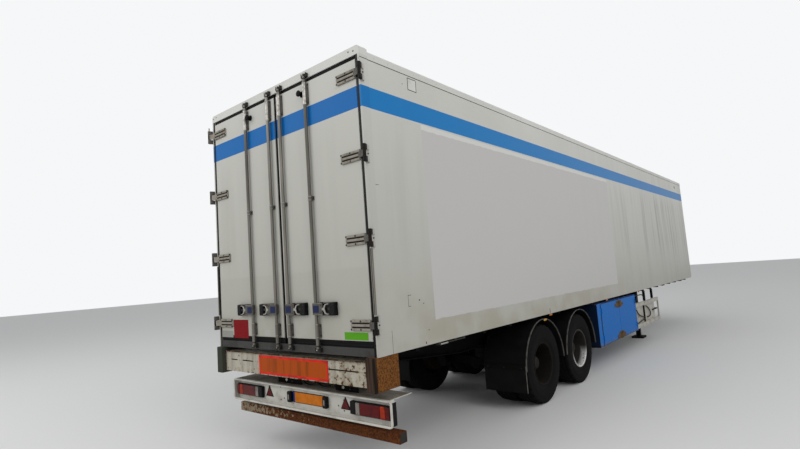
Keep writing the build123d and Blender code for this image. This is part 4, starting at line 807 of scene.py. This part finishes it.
# Reflective sheet: saturated and slightly glossy, with dark runs of dirt down the orange.
marker_sheet, tree, where = new_material("reflective_sheet", "#c4520c", 0.4)
x, _, z = add(tree, "SeparateXYZ", {0: where}).node.outputs
inside = add(tree, "Math", {0: between(tree, x, low[0] + BORDER, high[0] - BORDER),
                            1: between(tree, z, low[2] + BORDER, high[2] - BORDER)},
             operation="MULTIPLY")
runs = patches(tree, where, 16.0, 6, (0.42, 0.72), 1.0, 0.1)
orange = add(tree, "Mix", {0: runs, 6: "#a04200", 7: "#6e3202"})
blotch = patches(tree, where, 9.0, 6, (0.4, 0.7))
red = add(tree, "Mix", {0: blotch, 6: "#d0261a", 7: "#a81f14"})
coat(tree, {"Base Color": add(tree, "Mix", {0: inside, 6: red, 7: orange})})
softened("marker_board", marker_sheet, 0.001)
measure_from(y=low[1])
for x in (low[0] + RIVET_IN, high[0] - RIVET_IN):
    for z in (low[2] + RIVET_IN, high[2] - RIVET_IN):
        bolt("board_rivet", dark_bolt_and_shade, (x, 0.0005, z), "Y", 0.005, -0.002)
settled("marker_board_sheet", "trailer", "marker_yellow", "marker_board")


# Light carrier: a folded sheet tray with a thick rolled rim all round, painted white and grimy.
# It hangs on two dark plates whose bolts shine, and a bare bolt stands out beyond its right end.
def bent(name, mat, points, radius, closed=False):
    """Rod bent along the points."""
    curve = bpy.data.curves.new(name, "CURVE")
    curve.dimensions = "3D"
    curve.bevel_depth = radius
    curve.bevel_resolution = 3
    curve.use_fill_caps = not closed
    spline = curve.splines.new("NURBS")
    spline.points.add(len(points) - 1)
    for knot, point in zip(spline.points, points):
        knot.co = (*spot(*point), 1)
    spline.order_u = 3
    spline.use_cyclic_u = closed
    spline.use_endpoint_u = not closed
    piece = bpy.data.objects.new(name, curve)
    bpy.context.collection.objects.link(piece)
    alone(piece)
    bpy.ops.object.convert(target="MESH")
    return painted(bpy.context.object, mat)


# Carrier paint: dull white with grey grime in soft patches, no rust. Shelf dirt: matt grey
# grit that lies thick on the tray's top.
carrier_paint = worn_finish("carrier_paint", "#bfbdb5", "#857f70", 0.45, 0, 8, 0.45, 0.0004)
shelf_dirt = worn_finish("shelf_dirt", "#8f8980", "#5b544a", 0.9, 0, 5, 0.8)
low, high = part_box("light_carrier")
softened("light_carrier", carrier_paint, 0.0022, 3)
RIM, ROUND = 0.0095, 0.05
ends, tops = (low[0] + RIM, high[0] - RIM), (low[2] + RIM, high[2] - RIM)
loop = []
for x, step_x, z, step_z, across in ((ends[0], 1, tops[0], 1, False), (ends[0], 1, tops[1], -1, True),
                                     (ends[1], -1, tops[1], -1, False), (ends[1], -1, tops[0], 1, True)):
    corner = [(x + step_x * ROUND, z), (x, z), (x, z + step_z * ROUND)]
    loop += [(px, RIM, pz) for px, pz in (reversed(corner) if across else corner)]
measure_from(y=low[1])
bent("carrier_rim", carrier_paint, loop, RIM, closed=True)
measure_from()
for x, z in ((-0.42, 0.735), (-0.42, 0.6), (0.60, 0.70), (0.52, 0.64), (0.60, 0.60), (-0.33, 0.745),
             (-0.36, 0.62)):
    bolt("carrier_bolt", dark_bolt_and_shade, (x, 0.2055, z), "Y", 0.008, -0.004)
slab("shelf_dirt", shelf_dirt, (-1.235, 1.235), (0.170, 0.462), (0.7746, 0.7756), 0.0003, 1)
for side in both_sides():
    # Painted shade: black sheets close the tray's open ends, for the shade inside them and the lamps'
    # black sides behind.
    slab("end_shade_sheet", black_plastic, (1.2742, 1.2770), (0.158, 0.209), (0.553, 0.757), 0.001)
    rod("end_bolt", bright_steel, (1.215, 0.262, 0.755), 0.779, 0.009, "Z", 0.001)
settled("light_carrier_tray", "trailer", "worn_white_steel", "light_carrier")

# Carrier hangers: two black plates up to the beam with a large bright bolt each, and one loose
# black lead that sags from plate to plate.
for x, half in ((-0.30, 0.20), (0.61, 0.16)):
    slab("hanger_plate", chassis_paint, (x - half, x + half), (0.236, 0.248), (0.7755, 0.93), 0.003)
    bolt("hanger_bolt", bright_steel, (x - 0.035, 0.2362, 0.815), "Y", 0.019, -0.012)
    bolt("hanger_bolt_low", dark_bolt_and_shade, (x + 0.06, 0.2362, 0.805), "Y", 0.012, -0.008)
bent("cable", black_rubber, [(-0.12, 0.242, 0.86), (-0.02, 0.24, 0.80), (0.08, 0.242, 0.785),
                             (0.16, 0.242, 0.84), (0.24, 0.24, 0.79), (0.36, 0.242, 0.80),
                             (0.47, 0.242, 0.86)], 0.006)
settled("carrier_hangers", "trailer", "chassis_paint")


# Tail lamps: black housings with a lens of red, amber and clear fields, fluted inside. The dark
# round end is the housing's own cap.
def lens_plastic(name, colour, deep):
    """Moulded acrylic lens: deep colour, a clear gloss over fine upright flutes, dulled by grit."""
    mat, tree, where = new_material(name, colour, 0.2)
    dirt = patches(tree, where, 14.0, 6, (0.42, 0.7), 0.6)
    colour = add(tree, "Mix", {0: dirt, 6: colour, 7: deep})
    flutes = add(tree, "TexWave", {"Vector": where, "Scale": 32.0}, bands_direction="X")
    flutes = add(tree, "Bump", {"Height": flutes.node.outputs[1], "Distance": 0.0009, "Strength": 0.8})
    coat(tree, {"Base Color": colour, "Normal": flutes})
    tree.nodes["Principled BSDF"].inputs["Coat Weight"].default_value = 0.12
    return mat


# Lens fields: dark red, dull orange and a clear one that looks grey over its empty bowl. The red is
# darker than the lens's own colour, as painted shade.
red_lens = lens_plastic("red_lens", "#560507", "#250203")
amber_lens = lens_plastic("amber_lens", "#9c2907", "#541604")
clear_lens = lens_plastic("clear_lens", "#7d7872", "#4c4640")
low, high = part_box("tail_lamps")
for side in both_sides(high[0]):
    slab("lamp_housing", black_plastic, (0, -0.52), (0.166, 0.205), (low[2], high[2]), 0.018, 4)
    for near, far, lens in ((0.008, 0.062, red_lens), (0.065, 0.125, amber_lens),
                            (0.128, 0.385, red_lens), (0.388, 0.440, clear_lens)):
        slab("lamp_field", lens, (-near, -far), (0.1605, 0.18), (low[2] + 0.010, high[2] - 0.010),
             0.005, 3)
    slab("lamp_cap", black_plastic, (-0.443, -0.517), (0.162, 0.18), (low[2] + 0.006, high[2] - 0.006),
         0.008, 4)
    for near in (0.095, 0.414):
        rod("lamp_screw", dark_bolt_and_shade, (-near, 0.1604, low[2] + 0.022), 0.166, 0.005, "Y")
settled("tail_lamp_units", "trailer", "lamp_red", "tail_lamps")

# Triangle reflectors: red prismatic plastic, moulded in one piece and fixed to the carrier on a
# slightly larger black backing, one beside each lamp.
low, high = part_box("reflectors")
height = high[2] - low[2]
for side in both_sides(0.625):
    for size, front, back, mat in ((1.0, 0.1985, 0.205, black_plastic), (0.80, 0.1972, 0.2, red_lens)):
        half, foot = 0.0692 * size, low[2] + height * (1 - size) / 3
        drawn("triangle", mat, [(-half, back, foot), (half, back, foot), (0, back, foot + height * size)],
              (0, front - back, 0), 0.0012)
settled("triangle_reflectors", "trailer", "lamp_red", "reflectors")

# Plate: a pressed orange plate with a plain blue end and no characters, in a dark frame, with a
# black lamp at each end to light it.
low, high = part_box("number_plate")
plate_z = (low[2] + 0.007, high[2] - 0.007)
# Plate films: faded orange and blue, smooth and a little glossy.
orange_film = worn_finish("orange_plate_film", "#c56e14", "#8c4b0c", 0.35, 0, 9, 0.5, 0.0002)
blue_film = worn_finish("blue_plate_film", "#153a86", "#14264c", 0.35, 0, 9, 0.5, 0.0002)
slab("plate_frame", black_plastic, (-0.2, 0.32), (0.199, 0.2055), (low[2], high[2]), 0.003)
slab("plate_sheet", orange_film, (-0.162, 0.312), (0.1975, 0.2), plate_z, 0.0012)
slab("plate_end", blue_film, (-0.194, -0.1625), (0.1975, 0.2), plate_z, 0.0012)
for x in ((low[0], -0.198), (0.318, high[0])):
    middle = sum(x) / 2
    slab("plate_lamp", black_plastic, x, (0.161, 0.2055), (low[2], high[2]), 0.014, 4)
    slab("plate_lamp_glass", clear_lens, (middle - 0.012, middle + 0.012), (0.1605, 0.17),
         (low[2] + 0.03, high[2] - 0.03), 0.003)
settled("blank_plate", "trailer", "marker_yellow", "number_plate")

# Underrun bar: square tube with open ends, nearly all rust, with pale paint left only near its
# left end.
# Bar rust: coarse, matt and brown, over the last of a greyish paint.
bar_rust = rusted_paint("bar_rust", "#857a69", "#643617", 1.4, ((0.37, 0.05, 0.04),), 30, 0.8, lean=0.16)
softened("underrun_bar", bar_rust, 0.006, 3)
for side in both_sides():
    # Painted shade: dark sheets close the tube's open ends, for the dark inside it.
    slab("tube_mouth_shade", dark_bolt_and_shade, (1.2745, 1.2758), (0.238, 0.322), (0.388, 0.472), 0.001, 1)
settled("underrun_tube_rusty", "trailer", "rusty_steel", "underrun_bar")

# Tyres: road tyres with four grooves round the tread and cut shoulders. The sidewall swells
# past the rim and carries plain moulded rings. Twins sit close together.
# Tyre rubber: black, matt, a little brown with road dust.
tyre_rubber = worn_finish("tyre_rubber", "#0a0a0a", "#151412", 0.88, 0, 7, 0.6, 0.0008)
AXLES = {"rear": at(3.32), "front": at(4.63)}
HUB = 0.525
CENTRE = (0, 0, HUB)
TYRE_STEPS = 112
SHOULDER, SHOULDER_CUT, TREAD_REACH = (0.087, 0.125), -0.007, 0.505
# Half section of a tyre from its bead out to the tread's middle: across and radius.
TYRE = [(0.112, 0.2868), (0.120, 0.290), (0.125, 0.300), (0.130, 0.318), (0.1305, 0.330),
        (0.1345, 0.334), (0.1355, 0.345), (0.1390, 0.380), (0.1395, 0.410), (0.1385, 0.438),
        (0.1360, 0.441), (0.1335, 0.462), (0.1350, 0.466), (0.1320, 0.488), (0.1270, 0.505),
        (0.1190, 0.5165), (0.1060, 0.5205), (0.0860, 0.5225), (0.0845, 0.5090), (0.0765, 0.5090),
        (0.0750, 0.5230), (0.0330, 0.5242), (0.0315, 0.5100), (0.0225, 0.5100), (0.0210, 0.5245),
        (0.0, 0.5248)]
outline = TYRE + [(-x, r) for x, r in reversed(TYRE[:-1])] + [(0.0, 0.2868), TYRE[0]]
measure_from(y=0.0)
tyre = turned("tyre", tyre_rubber, CENTRE, "X", outline, TYRE_STEPS)
bench.clear()
bpy.ops.object.mode_set(mode="EDIT")
bpy.ops.mesh.select_all(action="DESELECT")
bpy.ops.mesh.select_mode(type="FACE")
bpy.ops.object.mode_set(mode="OBJECT")
for polygon in tyre.data.polygons:
    middle = polygon.center
    column = int(atan2(middle.y, middle.z - HUB) / (2 * pi) * TYRE_STEPS + TYRE_STEPS)
    on_tread = Vector((0, middle.y, middle.z - HUB)).length > TREAD_REACH
    polygon.select = SHOULDER[0] < abs(middle.x) < SHOULDER[1] and on_tread and column % 4 == 0
bpy.ops.object.mode_set(mode="EDIT")
bpy.ops.mesh.extrude_region_shrink_fatten(TRANSFORM_OT_shrink_fatten={"value": SHOULDER_CUT})
bpy.ops.mesh.select_mode(type="VERT")
bpy.ops.object.mode_set(mode="OBJECT")

# Wheels: pressed steel discs welded into the rims, bolted back to back on one hub. Ten hand
# holes and ten nuts stand round the dish, and the hub's cap closes the bearing.
# Silver rim paint: bright on the lower lip alone. Deeper in it turns black, as painted shade and
# brake dust, above the hub black as painted shade, and it is flecked with small chips.
rim_silver, tree, where = new_material("rim_silver", "#cfceca", 0.4, 0.2)
x, _, z = add(tree, "SeparateXYZ", {0: where}).node.outputs
deep = add(tree, "MapRange", {0: x, 1: 1.19, 2: 1.13, 4: 0.96})
above = add(tree, "MapRange", {0: z, 1: 0.36, 2: 0.54, 4: 0.97}, interpolation_type="SMOOTHSTEP")
rim_shade_and_grime = add(tree, "Math", {0: deep, 1: above}, operation="MAXIMUM")
specks = patches(tree, where, 45.0, 6, (0.55, 0.68), blend="LINEAR")
rim_shade_and_grime = add(tree, "Math", {0: rim_shade_and_grime, 1: specks}, operation="MAXIMUM")
coat(tree, {"Base Color": add(tree, "Mix", {0: rim_shade_and_grime, 6: "#cfceca", 7: "#1a1714"})})
# Wheel grime, drum iron and hub grease: three brown-blacks, matt, rusty and oily. The wheel grime
# is also painted shade, on the deep discs and all over the rear rims.
wheel_grime_and_shade = worn_finish("wheel_grime_and_shade", "#12100e", "#211b15", 0.8, 0, 10, 0.7)
drum_iron = worn_finish("drum_iron", "#2b211a", "#18130d", 0.85, 0.2, 18, 0.7)
hub_grease = worn_finish("hub_grease", "#1b1917", "#332b23", 0.5, 0.2, 20, 0.6)
# Sections of the twin wheel on the right: place across the trailer and radius.
RIM_SECTION = ((0.671, 0.2865), (0.671, 0.270), (0.690, 0.262), (0.78, 0.2585), (1.12, 0.2585),
               (1.195, 0.262), (1.222, 0.266), (1.229, 0.273), (1.229, 0.2862), (1.221, 0.2865),
               (0.679, 0.2865), (0.671, 0.2865))
DISC_SECTION = ((0.985, 0.2592), (0.968, 0.205), (0.976, 0.150), (0.976, 0.051), (0.944, 0.051),
                (0.944, 0.140), (0.938, 0.205), (0.945, 0.2592), (0.985, 0.2592))
HUB_SECTION = ((0.975, 0.051), (0.975, 0.118), (1.05, 0.114), (1.058, 0.119), (1.072, 0.119),
               (1.078, 0.104), (1.085, 0.082), (1.122, 0.078), (1.13, 0.066), (1.13, 0.0))
DRUM_SECTION = ((0.6, 0.055), (0.6, 0.198), (0.604, 0.2045), (0.70, 0.2045), (0.704, 0.2), (0.75, 0.2),
                (0.754, 0.2045), (0.94, 0.2045), (0.944, 0.2), (0.944, 0.1), (0.70, 0.1), (0.70, 0.055),
                (0.6, 0.055))
HOLES, HOLE_REACH, NUT_REACH = 10, 0.214, 0.1675
STEP = 2 * pi / HOLES
TWIN_X = (0.795, 1.105)
# The rear rims are dark all over: grime, and painted shade for the deeper shade at the rear axle.
for end, rim_paint in (("front", rim_silver), ("rear", wheel_grime_and_shade)):
    measure_from(y=0.0)
    disc = turned("wheel_disc", wheel_grime_and_shade, CENTRE, "X", DISC_SECTION, 80)
    hole = begun("cylinder", "hand_hole", vertices=20, radius=0.024, depth=0.16,
                 location=(0.955, 0, HUB + HOLE_REACH), rotation=(0, pi / 2, 0))
    cutter = joined("hand_holes", [copied(hole, "hole", turn=((number + 0.5) * STEP, "X", CENTRE))
                                   for number in range(HOLES)])
    finished(disc, "BOOLEAN", object=cutter, operation="DIFFERENCE", solver="EXACT")
    turned("wheel_rim", rim_paint, CENTRE, "X", RIM_SECTION, 80)
    nut = bolt("wheel_nut", hub_grease, (0.976, 0, HUB + NUT_REACH), "X", 0.016, 0.022)
    stud = rod("wheel_stud", drum_iron, (0.99, 0, HUB + NUT_REACH), 1.018, 0.0095, "X", 0.0015, 12)
    bench[-2:] = [copied(piece, "fastener", turn=(number * STEP, "X", CENTRE))
                  for number in range(HOLES) for piece in (nut, stud)]
    for piece in (hole, cutter, nut, stud):
        bpy.data.objects.remove(piece)
    turned("hub_shell", hub_grease, CENTRE, "X", HUB_SECTION, 40)
    turned("brake_drum", drum_iron, CENTRE, "X", DRUM_SECTION, 48)
    wheel = joined("twin_wheel", bench)
    for side, sign in SIDES:
        body, place = f"wheels_{end}_{side}", AXLES[end]
        bench += [copied(tyre, "tyre_copy", (sign * x, place, 0), turn=(radians(40 * x), "X", CENTRE))
                  for x in TWIN_X]
        settled(f"tyre_pair_{end}_{side}", body, "tyre_rubber", f"tyres_{end}_{side}", angle=40)
        bench.append(copied(wheel, "wheel_copy", (0, place, 0), sign < 0))
        settled(f"wheel_{end}_{side}", body, "wheel_paint", f"twin_wheel_{end}_{side}", angle=35)
    bpy.data.objects.remove(wheel)
bpy.data.objects.remove(tyre)

# Mudguards: half rounds of black plastic with a rolled rim that wear has greyed, a small yellow
# reflector on top of each rear one, and plain rubber flaps behind the rear wheels.
# Guard plastic: black, nearly matt. Greyed rim: scuffed to mid grey. Yellow lens: as the lamps'.
guard_plastic = worn_finish("guard_plastic", "#080808", "#151413", 0.65, 0, 8, 0.6)
greyed_rim = worn_finish("greyed_rim", "#5d5c59", "#23211f", 0.5, 0, 14, 0.6)
yellow_lens = lens_plastic("yellow_lens", "#b98a12", "#7d5a0c")
ARCH = (("guard_sheet", guard_plastic, ((0.652, 0.5945), (0.652, 0.5995), (1.262, 0.5995),
                                        (1.262, 0.5945), (0.652, 0.5945))),
        ("guard_rim", greyed_rim, ((1.262, 0.594), (1.262, 0.601), (1.270, 0.6035), (1.277, 0.602),
                                   (1.2795, 0.597), (1.272, 0.593), (1.262, 0.594))),
        ("guard_bead", guard_plastic, ((0.650, 0.586), (0.650, 0.604), (0.662, 0.604), (0.662, 0.586),
                                       (0.650, 0.586))))
for end, place in AXLES.items():
    for side in both_sides(y=place):
        for name, mat, section in ARCH:
            turned(name, mat, CENTRE, "X", section, 40, pi, (0, -1, 0))
        slab("guard_stay", chassis_paint, (0.504, 0.70), (-0.025, 0.025), (1.122, 1.136), 0.003)
        if end == "rear":
            slab("guard_reflector", yellow_lens, (1.270, 1.2799), (0.03, 0.12), (1.094, 1.120), 0.004)
settled("mudguard_arches", "trailer", "black_plastic", "mudguards")

# Mud flaps: plain sheets cut from thick black rubber. Each is clamped near its top by a steel
# strip with three bolts, and its outer edge is scuffed grey.
softened("mud_flaps", black_rubber, 0.003)
low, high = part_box("mud_flaps")
thick = high[1] - low[1]
for side in both_sides(y=low[1]):
    slab("flap_clamp", chassis_paint, (0.68, 1.25), (-0.006, thick + 0.004), (0.545, 0.595), 0.002)
    slab("flap_edge", greyed_rim, (1.2625, 1.2685), (-0.003, thick + 0.001), (0.262, 0.598), 0.002)
    for x in (0.72, 0.96, 1.21):
        bolt("flap_bolt", dark_bolt_and_shade, (x, -0.0055, 0.57), "Y", 0.009, -0.006)
settled("mud_flap_rubbers", "trailer", "black_rubber", "mud_flaps")

# Air springs: rubber bellows with two folds, crimped between a cast piston that stands on the
# trailing arm and a steel cap under the rail.
low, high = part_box("air_bags")
tall = high[2] - low[2]
PISTON = ((0, 0), (0, 0.084), (0.06, 0.074), (0.075, 0.07), (0.075, 0))
BELLOWS = ((0.07, 0), (0.068, 0.075), (0.075, 0.105), (0.095, 0.122), (0.125, 0.124), (0.142, 0.116),
           (0.15, 0.112), (0.158, 0.116), (0.178, 0.124), (0.2, 0.122), (0.214, 0.108),
           (tall - 0.008, 0.098), (tall - 0.008, 0))
CAP = ((tall - 0.008, 0), (tall - 0.008, 0.102), (tall, 0.1), (tall, 0))
SPRING_X, SPRING_BEHIND = 0.5, 0.34
for place in AXLES.values():
    for side in both_sides(SPRING_X, place - SPRING_BEHIND, low[2]):
        turned("spring_piston", chassis_paint, (0, 0, 0), "Z", PISTON, 28)
        turned("spring_bellows", black_rubber, (0, 0, 0), "Z", BELLOWS, 36)
        turned("spring_cap", chassis_paint, (0, 0, 0), "Z", CAP, 28)
settled("air_springs", "trailer", "black_rubber", "air_bags")

# Air tanks: two cylinders of rolled steel with pressed, domed ends, painted black. Each hangs
# from the cross members by two steel straps.
low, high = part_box("air_tanks")
length, tall = high[1] - low[1], high[2] - low[2]
TANK_X, TANK_RADIUS, STRAP_FROM_MIDDLE = 0.23, 0.115, 0.31
DOME = [(0, 0), (0.006, 0.045), (0.022, 0.085), (0.045, 0.108), (0.065, 0.1148)]
STRAP = ((0, 0.1135), (0, 0.1178), (0.04, 0.1178), (0.04, 0.1135), (0, 0.1135))
for side in both_sides(TANK_X, low[1], low[2]):
    turned("tank_shell", chassis_paint, (0, 0, TANK_RADIUS), "Y",
           DOME + [(length - place, reach) for place, reach in reversed(DOME)], 36)
    for place in (length / 2 - STRAP_FROM_MIDDLE, length / 2 + STRAP_FROM_MIDDLE):
        turned("tank_strap", dark_bolt_and_shade, (0, place - 0.02, TANK_RADIUS), "Y", STRAP, 36)
        slab("tank_hanger", chassis_paint, (-0.03, 0.03), (place - 0.03, place + 0.03),
             (tall - 0.03, tall), 0.003)
settled("air_tank_shells", "trailer", "chassis_paint", "air_tanks")

# Locker: a steel box in blue paint between the wheels and the guard. Its doors close against
# rusty latches top and bottom of the middle seam, and its lower edge is eaten by rust.
# Locker paint: strong blue gloss, rusty at the edges, and nearly black on its rear end as painted
# shade. Latch steel: brown, rough, no paint.
locker_paint = rusted_paint("locker_paint", "#0863b0", "#4e2f1c", 0.0,
                            ((0.41, 0.07, 0.2), (1.125, 0.03, 0.2)), 22, 0.5, grime=0.04)
# Painted shade: the rear end, seen between the guard and the body, is nearly black.
overlaid(locker_paint, 1, at(5.437), at(5.424), "#0d0d0e", 0.93)
latch_steel = rusted_paint("latch_steel", "#4d3f2c", "#6b421c", 0.55, (), 30, 0.75)
softened("locker", locker_paint, 0.003)
slab("locker_seal", black_rubber, (1.2788, 1.2812), (5.584, 5.6165), (0.41, 1.11), 0.001, 1)
settled("locker_steel", "trailer", "blue_paint", "locker")
SEAM = at(6.6)
for end, away in (("rear", -1), ("front", 1)):
    node = f"locker_door_{end}"
    softened(node, locker_paint, 0.002)
    for latch_z in (1.030, 0.470):
        measure_from(y=SEAM, z=latch_z)
        for name, x, near, far, z, edge in (
                ("latch_plate", (1.2800, 1.2845), 0.008, 0.15, (-0.060, 0.060), 0.002),
                ("latch_wing", (1.2800, 1.2838), 0.14, 0.24, (-0.045, 0.020), 0.002),
                ("latch_bar", (1.284, 1.2925), 0.02, 0.045, (-0.065, 0.065), 0.003)):
            slab(name, latch_steel, x, (away * near, away * far), z, edge)
        for bolt_y, bolt_z in ((0.090, -0.035), (0.090, 0.035), (0.215, -0.010)):
            bolt("latch_bolt", dark_bolt_and_shade, (1.2835, away * bolt_y, bolt_z), "X", 0.009, 0.006)
    settled(f"{node}_steel", node, "blue_paint", node)

# Side guards: aluminium rails and sheet, dull and dented, on posts under the floor.
# Guard aluminium: pale, dull, with brown dirt in soft patches. Above the top rail it is black, as
# painted shade under the floor.
guard_metal = worn_finish("guard_aluminium", "#aeaba2", "#6d6557", 0.5, 0.15, 7, 0.5, 0.0012)
overlaid(guard_metal, 2, 0.9339, 0.9341, "#0b0b0b")
softened("side_guards", guard_metal, 0.004, 3)
slab("guard_end_post", guard_metal, (1.257, 1.2848), (9.385, 9.4245), (0.504, 0.851), 0.002)
settled("side_guard_rails", "trailer", "guard_aluminium", "side_guards")

# Crank stay: black rods, bent by hand and clamped to a flat post, that hold the landing gear's
# crank against the right guard.
FACE = 1.2765
STAYS = ((0.011, ((1.25, 7.66, 1.075), (1.265, 7.9, 1.085), (1.268, 8.2, 1.075), (1.272, 8.26, 1.06),
                  (FACE, 8.34, 0.965), (FACE, 8.36, 0.90))),
         (0.010, ((FACE, 7.68, 0.80), (FACE, 7.8, 0.70), (FACE, 8.0, 0.64), (FACE, 8.25, 0.60))),
         (0.011, ((FACE, 8.41, 0.82), (FACE, 8.5, 0.80), (FACE, 8.68, 0.70), (FACE, 8.70, 0.62),
                  (FACE, 8.6, 0.58), (FACE, 8.45, 0.585))),
         (0.010, ((FACE, 7.72, 0.53), (FACE, 7.9, 0.545), (FACE, 8.1, 0.56), (FACE, 8.26, 0.575))))
for radius, points in STAYS:
    bent("stay_rod", bracket_paint, points, radius)
slab("stay_post", bracket_paint, (1.257, 1.283), (8.235, 8.275), (0.505, 0.852), 0.004)
settled("crank_stay", "trailer", "chassis_paint")

# Side marker lamps: moulded amber lenses on small dark bases, fixed under the wall's lower edge.
# Side amber: a lighter orange than the tail lamps', with the same gloss.
side_amber = lens_plastic("side_amber_lens", "#b8691a", "#6e3c10")
for distance in (3.544, 5.923, 7.925, 9.9775, 12.03):
    for side in both_sides(y=at(distance)):
        slab("marker_base", black_plastic, (1.290, 1.2985), (-0.05, 0.05), (1.146, 1.1748), 0.003)
        slab("marker_lens", side_amber, (1.296, 1.302), (-0.043, 0.043), (1.150, 1.171), 0.0028, 3)
settled("side_marker_units", "trailer", "lamp_amber", "side_marker_lamps")

# Cooling unit: a sheet metal case on the front wall, with doors, seams and latches below a
# louvred black front.
# Case paint: clean off-white stove enamel, lightly soiled.
case_paint = worn_finish("case_paint", "#c4c3be", "#8d8a82", 0.4, 0, 2.5, 0.4, 0.0004)
low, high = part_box("cooling_unit")
face_y = high[1]
softened("cooling_unit", case_paint, 0.012, 4)
measure_from(y=face_y)
for x in (-0.34, 0.34):
    slab("case_seam", seam_and_shadow_dark, (x - 0.003, x + 0.003), (-0.004, 0.0006), (low[2] + 0.08, 2.43), 0.0004, 1)
slab("case_cross_seam", seam_and_shadow_dark, (-0.96, 0.96), (-0.004, 0.0006), (2.428, 2.434), 0.0004, 1)
for x in (-0.68, -0.02, 0.64):
    for z in (1.86, 2.30):
        slab("case_latch", black_plastic, (x, x + 0.06), (-0.002, 0.008), (z, z + 0.025), 0.004)
low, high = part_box("cooling_unit_grille")
slab("grille_shadow", black_plastic, (low[0] + 0.01, high[0] - 0.01), (-0.004, 0.001),
     (low[2] + 0.01, high[2] - 0.01), 0.0005, 1)
settled("cooler_case_sheet", "trailer", "white_body", "cooling_unit")

# Grille: louvre blades between three uprights and two rails, all moulded in black plastic and
# fixed to the front of the case.
PITCH = 0.0383
BLADE = ((0.0015, 0), (0.0105, -0.004), (0.0105, 0.002), (0.0015, 0.018))
measure_from(y=face_y)
depth = (0.0005, high[1] - face_y)
for row in range(int((high[2] - low[2] - 0.06) / PITCH)):
    z = low[2] + 0.035 + row * PITCH
    drawn("louvre", black_plastic, [(low[0] + 0.02, out, z + rise) for out, rise in BLADE],
          (high[0] - low[0] - 0.04, 0, 0))
for x in (low[0], -0.02, high[0] - 0.04):
    slab("grille_post", black_plastic, (x, x + 0.04), depth, (low[2], high[2]), 0.003)
for z in (low[2], high[2] - 0.03):
    slab("grille_rail", black_plastic, (low[0], high[0]), depth, (z, z + 0.03), 0.003)
settled("cooler_grille", "trailer", "black_plastic", "cooling_unit_grille")

# Connection panel: a cast aluminium plate on the front wall, with two brake couplings and two
# electric sockets under hinged lids.
low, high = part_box("connection_panel")
BODY = ((0, 0), (0, 0.035), (0.006, 0.035), (0.010, 0.029), (0.04, 0.027), (0.045, 0.03), (0.045, 0))
LID = ((0.044, 0), (0.044, 0.0335), (0.056, 0.0335), (0.0598, 0.028), (0.0598, 0))
PANEL = 0.04
measure_from(y=low[1])
slab("panel_plate", strap_metal, (low[0], high[0]), (0, PANEL), (low[2], high[2]), 0.006)
measure_from(y=low[1] + PANEL, z=(low[2] + high[2]) / 2)
for x, mat in ((-0.25, red_lens), (-0.09, black_plastic), (0.09, black_plastic), (0.25, amber_lens)):
    turned("coupling_body", dark_casting, (x, 0, 0), "Y", BODY, 28)
    turned("coupling_lid", mat, (x, 0, 0), "Y", LID, 28)
    slab("lid_hinge", dark_bolt_and_shade, (x - 0.01, x + 0.01), (0.03, 0.055), (0.026, 0.034), 0.002)
settled("connection_panel_plate", "trailer", "black_plastic", "connection_panel")

# Fuel tank: welded aluminium sheet with rounded edges and a black filler cap. Two steel bands
# hold it on its brackets, left of the rail.
# Tank aluminium: dull grey metal with a soft sheen, soiled brown.
tank_metal = worn_finish("tank_aluminium", "#8f8d89", "#4d473e", 0.45, 0.5, 6, 0.6)
low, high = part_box("fuel_tank")
length, tall = high[1] - low[1], high[2] - low[2]
softened("fuel_tank", tank_metal, 0.02, 4)
measure_from(*low)
for y in (0.16, length - 0.20):
    slab("tank_band", dark_bolt_and_shade, (-0.0005, 0.003), (y, y + 0.04), (0.075, tall - 0.075), 0.001)
turned("filler_cap", black_plastic, (0.22, 0.5, tall - 0.002), "Z",
       [(0, 0), (0, 0.045), (0.018, 0.045), (0.022, 0.04), (0.022, 0)], 28)
settled("fuel_tank_body", "trailer", "guard_aluminium", "fuel_tank")
